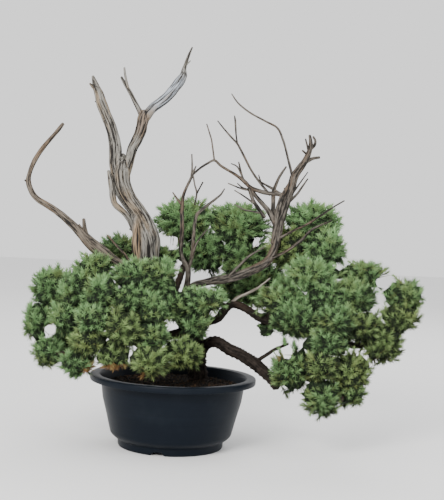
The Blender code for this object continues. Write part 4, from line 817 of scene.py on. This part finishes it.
def in_the_way(points, spare):
    """Whether each point is outside the model's box, in the pot or soil, over a gap, or near bare wood."""
    low, high = (np.array(corner) / MM - POT_MIDDLE / MM for corner in (cad_low, cad_high))
    bad = ((points < low + INSIDE_BOX) | (points > high - INSIDE_BOX)).any(axis=1)
    reach, up = np.hypot(points[:, 0], points[:, 1]), points[:, 2]
    bad |= (up < RIM_TOP) & (reach < RIM_EDGE) & ((reach > RIM_INNER) | (up < SOIL_TOP + OVER_SOIL))
    share = 1 - points[:, 1] / EYE[1]
    x, z = EYE[0] + (points[:, 0] - EYE[0]) / share, EYE[2] + (points[:, 2] - EYE[2]) / share
    for hole_x, hole_z, radius in HOLES:
        bad |= np.hypot(x - hole_x, z - hole_z) < radius
    near = wood_points[np.linalg.norm(wood_points[:, :3] - points.mean(axis=0), axis=1) < WOOD_NEAR]
    if len(near):
        away = np.linalg.norm(points[:, None] - near[None, :, :3], axis=2) - near[:, 3]
        bad |= away.min(axis=1) < spare
    return bad


def shoot_lines(name, walls):
    """The shoots of a mass: even ways out of its middle, in two layers, as many as its area asks for. A
    shoot leans up, with its tip at the mass's face and its foot well inside, and stops at the walls. The
    area is 4 pi times the mean product of two half sizes, by powers of 1.6."""
    middle, half = masses[name]
    products = (half[0] * half[1]) ** 1.6 + (half[0] * half[2]) ** 1.6 + (half[1] * half[2]) ** 1.6
    count = int(12.566 * products ** 0.625 / 1.99 / SHOOT_AREA)
    ways = np.vstack((even_ways(count, 0.4), even_ways(count // 3, 2.1)))
    sunk = np.repeat((0.0, 6.0), (count, count // 3)) + chance.random(len(ways)) * 2.5
    ways = unit(ways + chance.normal(0, 0.08, ways.shape))
    reach, free = extent(ways, name, walls)
    walled = free < reach
    spots = middle + ways * reach[:, None]
    plume = np.sin(spots @ (0.27, 0.16, -0.21)) * np.sin(spots @ (-0.13, 0.24, 0.29)) * 3.2
    loose = reach + plume + chance.normal(2.2, 1.8, len(ways))
    far = np.where(walled, np.minimum(free + PAST_WALL, reach + 1), loose) - sunk
    tips = middle + ways * far[:, None]
    axis = unit(ways + (0, 0, 0.3) + chance.normal(0, 0.3, ways.shape))
    length = SHOOT_LEAST + SHOOT_MORE * chance.random(len(ways))
    kept = ~walled | (free > reach * 0.6) | (chance.random(len(ways)) < 0.5)
    feet = tips - axis * (length + NEEDLE)[:, None]
    kept &= np.linalg.norm((feet - middle) / half, axis=1) < FOOT_WITHIN
    return tips[kept], axis[kept], length[kept], (sunk / 7)[kept]


def spindles(middle, first, second, across, beside, wide):
    """Closed bodies of six faces: three points round a middle, in the plane of two ways, and two tips."""
    back, aside = middle - across * wide * 0.3, beside * wide * 0.45
    rows = (middle + across * wide * 0.5, back + aside, back - aside, first, second)
    return np.stack(rows, -2).reshape(-1, 5, 3)


def leafy(tips, axis, length, sunk, dry):
    """All needles of a mass, and then its shoots' stems. Needles stand in opposite pairs, each turned on
    by a sixth, and lean from 66 degrees at a shoot's foot to 22 at its end. A pair is one spindle."""
    count = len(tips)
    k = np.arange(PAIRS)
    at = BARE + (1 - BARE) * (k + 0.5) / PAIRS + chance.normal(0, 0.012, (count, PAIRS))
    spin = k * 1.047 + k // 3 * 0.35 + chance.random((count, 1)) * 6.28
    spin = spin + chance.normal(0, 0.18, (count, PAIRS))
    side = unit(np.cross(axis, (0.31, 0.52, 0.8)))
    other = np.cross(axis, side)
    foot = tips - axis * (length + NEEDLE * 0.8)[:, None]
    out = side[:, None] * np.cos(spin)[..., None] + other[:, None] * np.sin(spin)[..., None]
    root = foot[:, None] + axis[:, None] * (length[:, None] * at)[..., None]
    ends = []
    for way_out in (out, -out):
        lean = np.radians(LEAN_FOOT - LEAN_LESS * np.clip(at, 0, 1) ** 1.6 + chance.normal(0, 6, at.shape))
        long = NEEDLE * (0.84 + 0.3 * chance.random(at.shape)) * (1 - 0.25 * (at > 0.9))
        way = axis[:, None] * np.cos(lean)[..., None] + way_out * np.sin(lean)[..., None]
        ends.append(root + way * long[..., None])
    ahead = np.broadcast_to(axis[:, None], out.shape)
    shape = spindles(root, *ends, ahead, np.cross(out, axis[:, None]), NEEDLE_WIDE)
    start, end = foot + axis * length[:, None] * 0.3, foot + axis * (length + NEEDLE * 0.7)[:, None]
    stems = spindles(start, end, foot, side, other, NEEDLE_WIDE)
    tone = np.repeat(chance.random(count), PAIRS) * 0.8 + chance.random(count * PAIRS) * 0.2
    # The mark lit is painted light and shade: it grows towards a shoot's tip, and falls in the sunk layer
    # and with the dimming each mass is given.
    lit = (at - BARE) / (1 - BARE) * 0.75 + 0.25 - sunk[:, None] * 0.45
    marks = ((tone, 0.2), (np.repeat(dry, PAIRS), 0.3), (lit.ravel(), 0.6))
    return np.concatenate((shape, stems)), *(np.append(own, [stem] * count) for own, stem in marks)


def brown_share(tips):
    """The share of dead shoots at these points: most over the pot's left rim, nearly none elsewhere."""
    low = np.clip(1.5 - np.abs(tips[:, 2] - 96) / 12, 0, 1)
    return 0.001 + low * np.clip(1.2 - np.abs(tips[:, 0] + 70) / 34, 0, 1)


def outward(shape):
    """The spindles, with two points changed over where faces would look inwards."""
    first, second, third, tip = (shape[:, k] for k in range(4))
    wrong = np.einsum("ij,ij->i", second - first, np.cross(third - first, tip - first)) < 0
    shape[wrong, 1], shape[wrong, 2] = shape[wrong, 2], shape[wrong, 1]
    return shape


def shade_core_of(name, walls):
    """The dark core of a mass, painted shade that stands for its shaded inside where the needles leave
    gaps: a wavy lump at a share of its reach, inside its walls. Along each way it is drawn in by steps for
    as long as anything is close."""
    middle, half = masses[name]
    height = np.linspace(-1, 1, CORE_ROWS + 2)[1:-1, None]
    turn = np.linspace(0, 2 * np.pi, CORE_AROUND, endpoint=False)
    flat = np.sqrt(1 - height ** 2)
    ways = np.stack(np.broadcast_arrays(flat * np.cos(turn), flat * np.sin(turn), height), -1)
    ways = np.vstack((ways.reshape(-1, 3), (0, 0, -1), (0, 0, 1)))
    reach, free = extent(ways, name, walls)
    size = np.minimum(reach * CORE_SHARE, CORE_WITHIN / np.linalg.norm(ways / half, axis=1))
    wave = 1 + 0.07 * np.sin(ways @ (5, 7, 6)) + 0.06 * np.sin(ways @ (13, -9, 11))
    size = np.minimum(size * wave, free - 0.5)
    for shrink in range(CORE_SHRINKS):
        spots = [middle + ways * (size[:, None] * share + CORE_CLEAR) for share in (0.6, 0.8, 1)]
        blocked = [in_the_way(spot, 0.2) for spot in spots]
        size = np.where(np.any(blocked, axis=0), size * 0.93, size)
    lump = middle + ways * size[:, None]
    return skin(lump[:-2].reshape(CORE_ROWS, CORE_AROUND, 3), lump[-2], lump[-1])


SIDES = np.array([(0, 1, 3), (1, 2, 3), (2, 0, 3), (1, 0, 4), (2, 1, 4), (0, 2, 4)])
for name, (middle, half) in masses.items():
    walls = walls_of(name)
    tips, axis, length, sunk = shoot_lines(name, walls)
    kept = ~in_the_way(tips - axis * 3, 1.0)
    tips, axis, length, sunk = tips[kept], axis[kept], length[kept], sunk[kept]
    dry = (chance.random(len(tips)) < brown_share(tips)) * (0.6 + 0.4 * chance.random(len(tips)))
    # Painted light and shade on each mass: tips high in it, far to its front or back, and on its left are
    # painted lighter, the rest darker, and each group is dimmed by its SHADE.
    away = (tips - middle) / half
    rise = np.clip(away[:, 2] * 0.75 + np.abs(away[:, 1]) * 0.4 - away[:, 0] * 0.2, -1, 1)
    dim = sunk + SHADE[name.split("_")[0]] - 0.75 * rise
    shape, tone, dry, lit = leafy(tips, axis, length, dim, dry)
    kept = ~(in_the_way(shape[:, 3], 0.8) | in_the_way(shape[:, 4], 0.8) | in_the_way(shape[:, 0], 0.4))
    shape, tone, dry, lit = outward(shape[kept]), tone[kept], dry[kept], np.clip(lit[kept], 0, 1)
    count = len(shape)
    faces = (SIDES + np.arange(count)[:, None, None] * 5).reshape(-1, 3)
    leaf = np.stack((np.tile((0, 0, 0, 1, 1), count), np.repeat(tone, 5), np.repeat(dry, 5)), -1)
    # The core gets lit 0 and so is painted near black with green specks: painted shade.
    lump, lump_faces = shade_core_of(name, walls)
    leaf = np.vstack((leaf, np.tile((0, 0.1, 0), (len(lump), 1))))
    lit = np.concatenate((np.repeat(lit, 5), np.zeros(len(lump))))
    kind = "needles_olive" if name in OLIVE else "needles_deep" if name in SHADED_MASSES else "needles_fresh"
    new_piece("needles_" + name, np.vstack((shape.reshape(-1, 3), lump)),
              [faces] + [group + count * 5 for group in lump_faces], leaf_finishes[kind],
              ["spray_" + name], smooth=False, leaf=leaf, lit=lit)

# The studio: a pale floor, a soft key light high on the left, a weaker one on the right, a pale sky, and
# the camera at the height of the branches, rolled a little as the photograph is.
ROLL, PITCH = math.radians(2.7), math.radians(1.2)
LENS = 71.1
TREE_MIDDLE = (0, 0, 0.25)
SKY = 1.3
LIGHTS = [("key", (-0.9, -1.9, 1.3), 0.9, 64, (1.0, 0.98, 0.95)),
          ("fill", (1.6, -1.2, 1.2), 1.4, 16, (0.96, 0.98, 1.0)),
          ("rim", (0.6, 1.5, 1.7), 1.2, 15, (1.0, 1.0, 1.0))]
bpy.ops.mesh.primitive_plane_add(size=12)
floor = bpy.context.object
floor.name = "floor"
pale = Finish("pale_floor", 0.9)
pale.color(pale.mix((0.8, 0.8, 0.8), (0.84, 0.84, 0.84), pale.noise(pale.place(), 3, 2)))
floor.data.materials.append(pale.material)
floor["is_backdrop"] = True


def stood(name, data, axes, place):
    """A camera or light at a place in metres, with its three axes along the vectors."""
    holder = bpy.data.objects.new(name, data)
    holder.matrix_world = Matrix([*np.column_stack((*axes, place)).tolist(), (0, 0, 0, 1)])
    bpy.context.scene.collection.objects.link(holder)
    return holder


right = np.array((math.cos(ROLL), 0, math.sin(ROLL)))
level = np.array((-math.sin(ROLL), 0, math.cos(ROLL)))
forward = (0, math.cos(PITCH), 0) - level * math.sin(PITCH)
upward = level * math.cos(PITCH) + (0, math.sin(PITCH), 0)
lens = bpy.data.cameras.new("camera")
lens.lens, lens.sensor_width = LENS, 36
bpy.context.scene.camera = stood("camera", lens, (right, upward, -forward), POT_MIDDLE + EYE * MM)
for name, place, size, watts, color in LIGHTS:
    lamp = bpy.data.lights.new(name, "AREA")
    lamp.size, lamp.energy, lamp.color = size, watts, color
    back = unit(np.array(place) - TREE_MIDDLE)
    side = unit(np.cross((0, 0, 1), back))
    stood(name, lamp, (side, np.cross(back, side), back), place)
world = bpy.data.worlds.new("sky")
world.use_nodes = True
sky = world.node_tree.nodes["Background"]
sky.inputs["Color"].default_value = (1.0, 1.0, 1.0, 1)
sky.inputs["Strength"].default_value = SKY
bpy.context.scene.world = world

low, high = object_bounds()
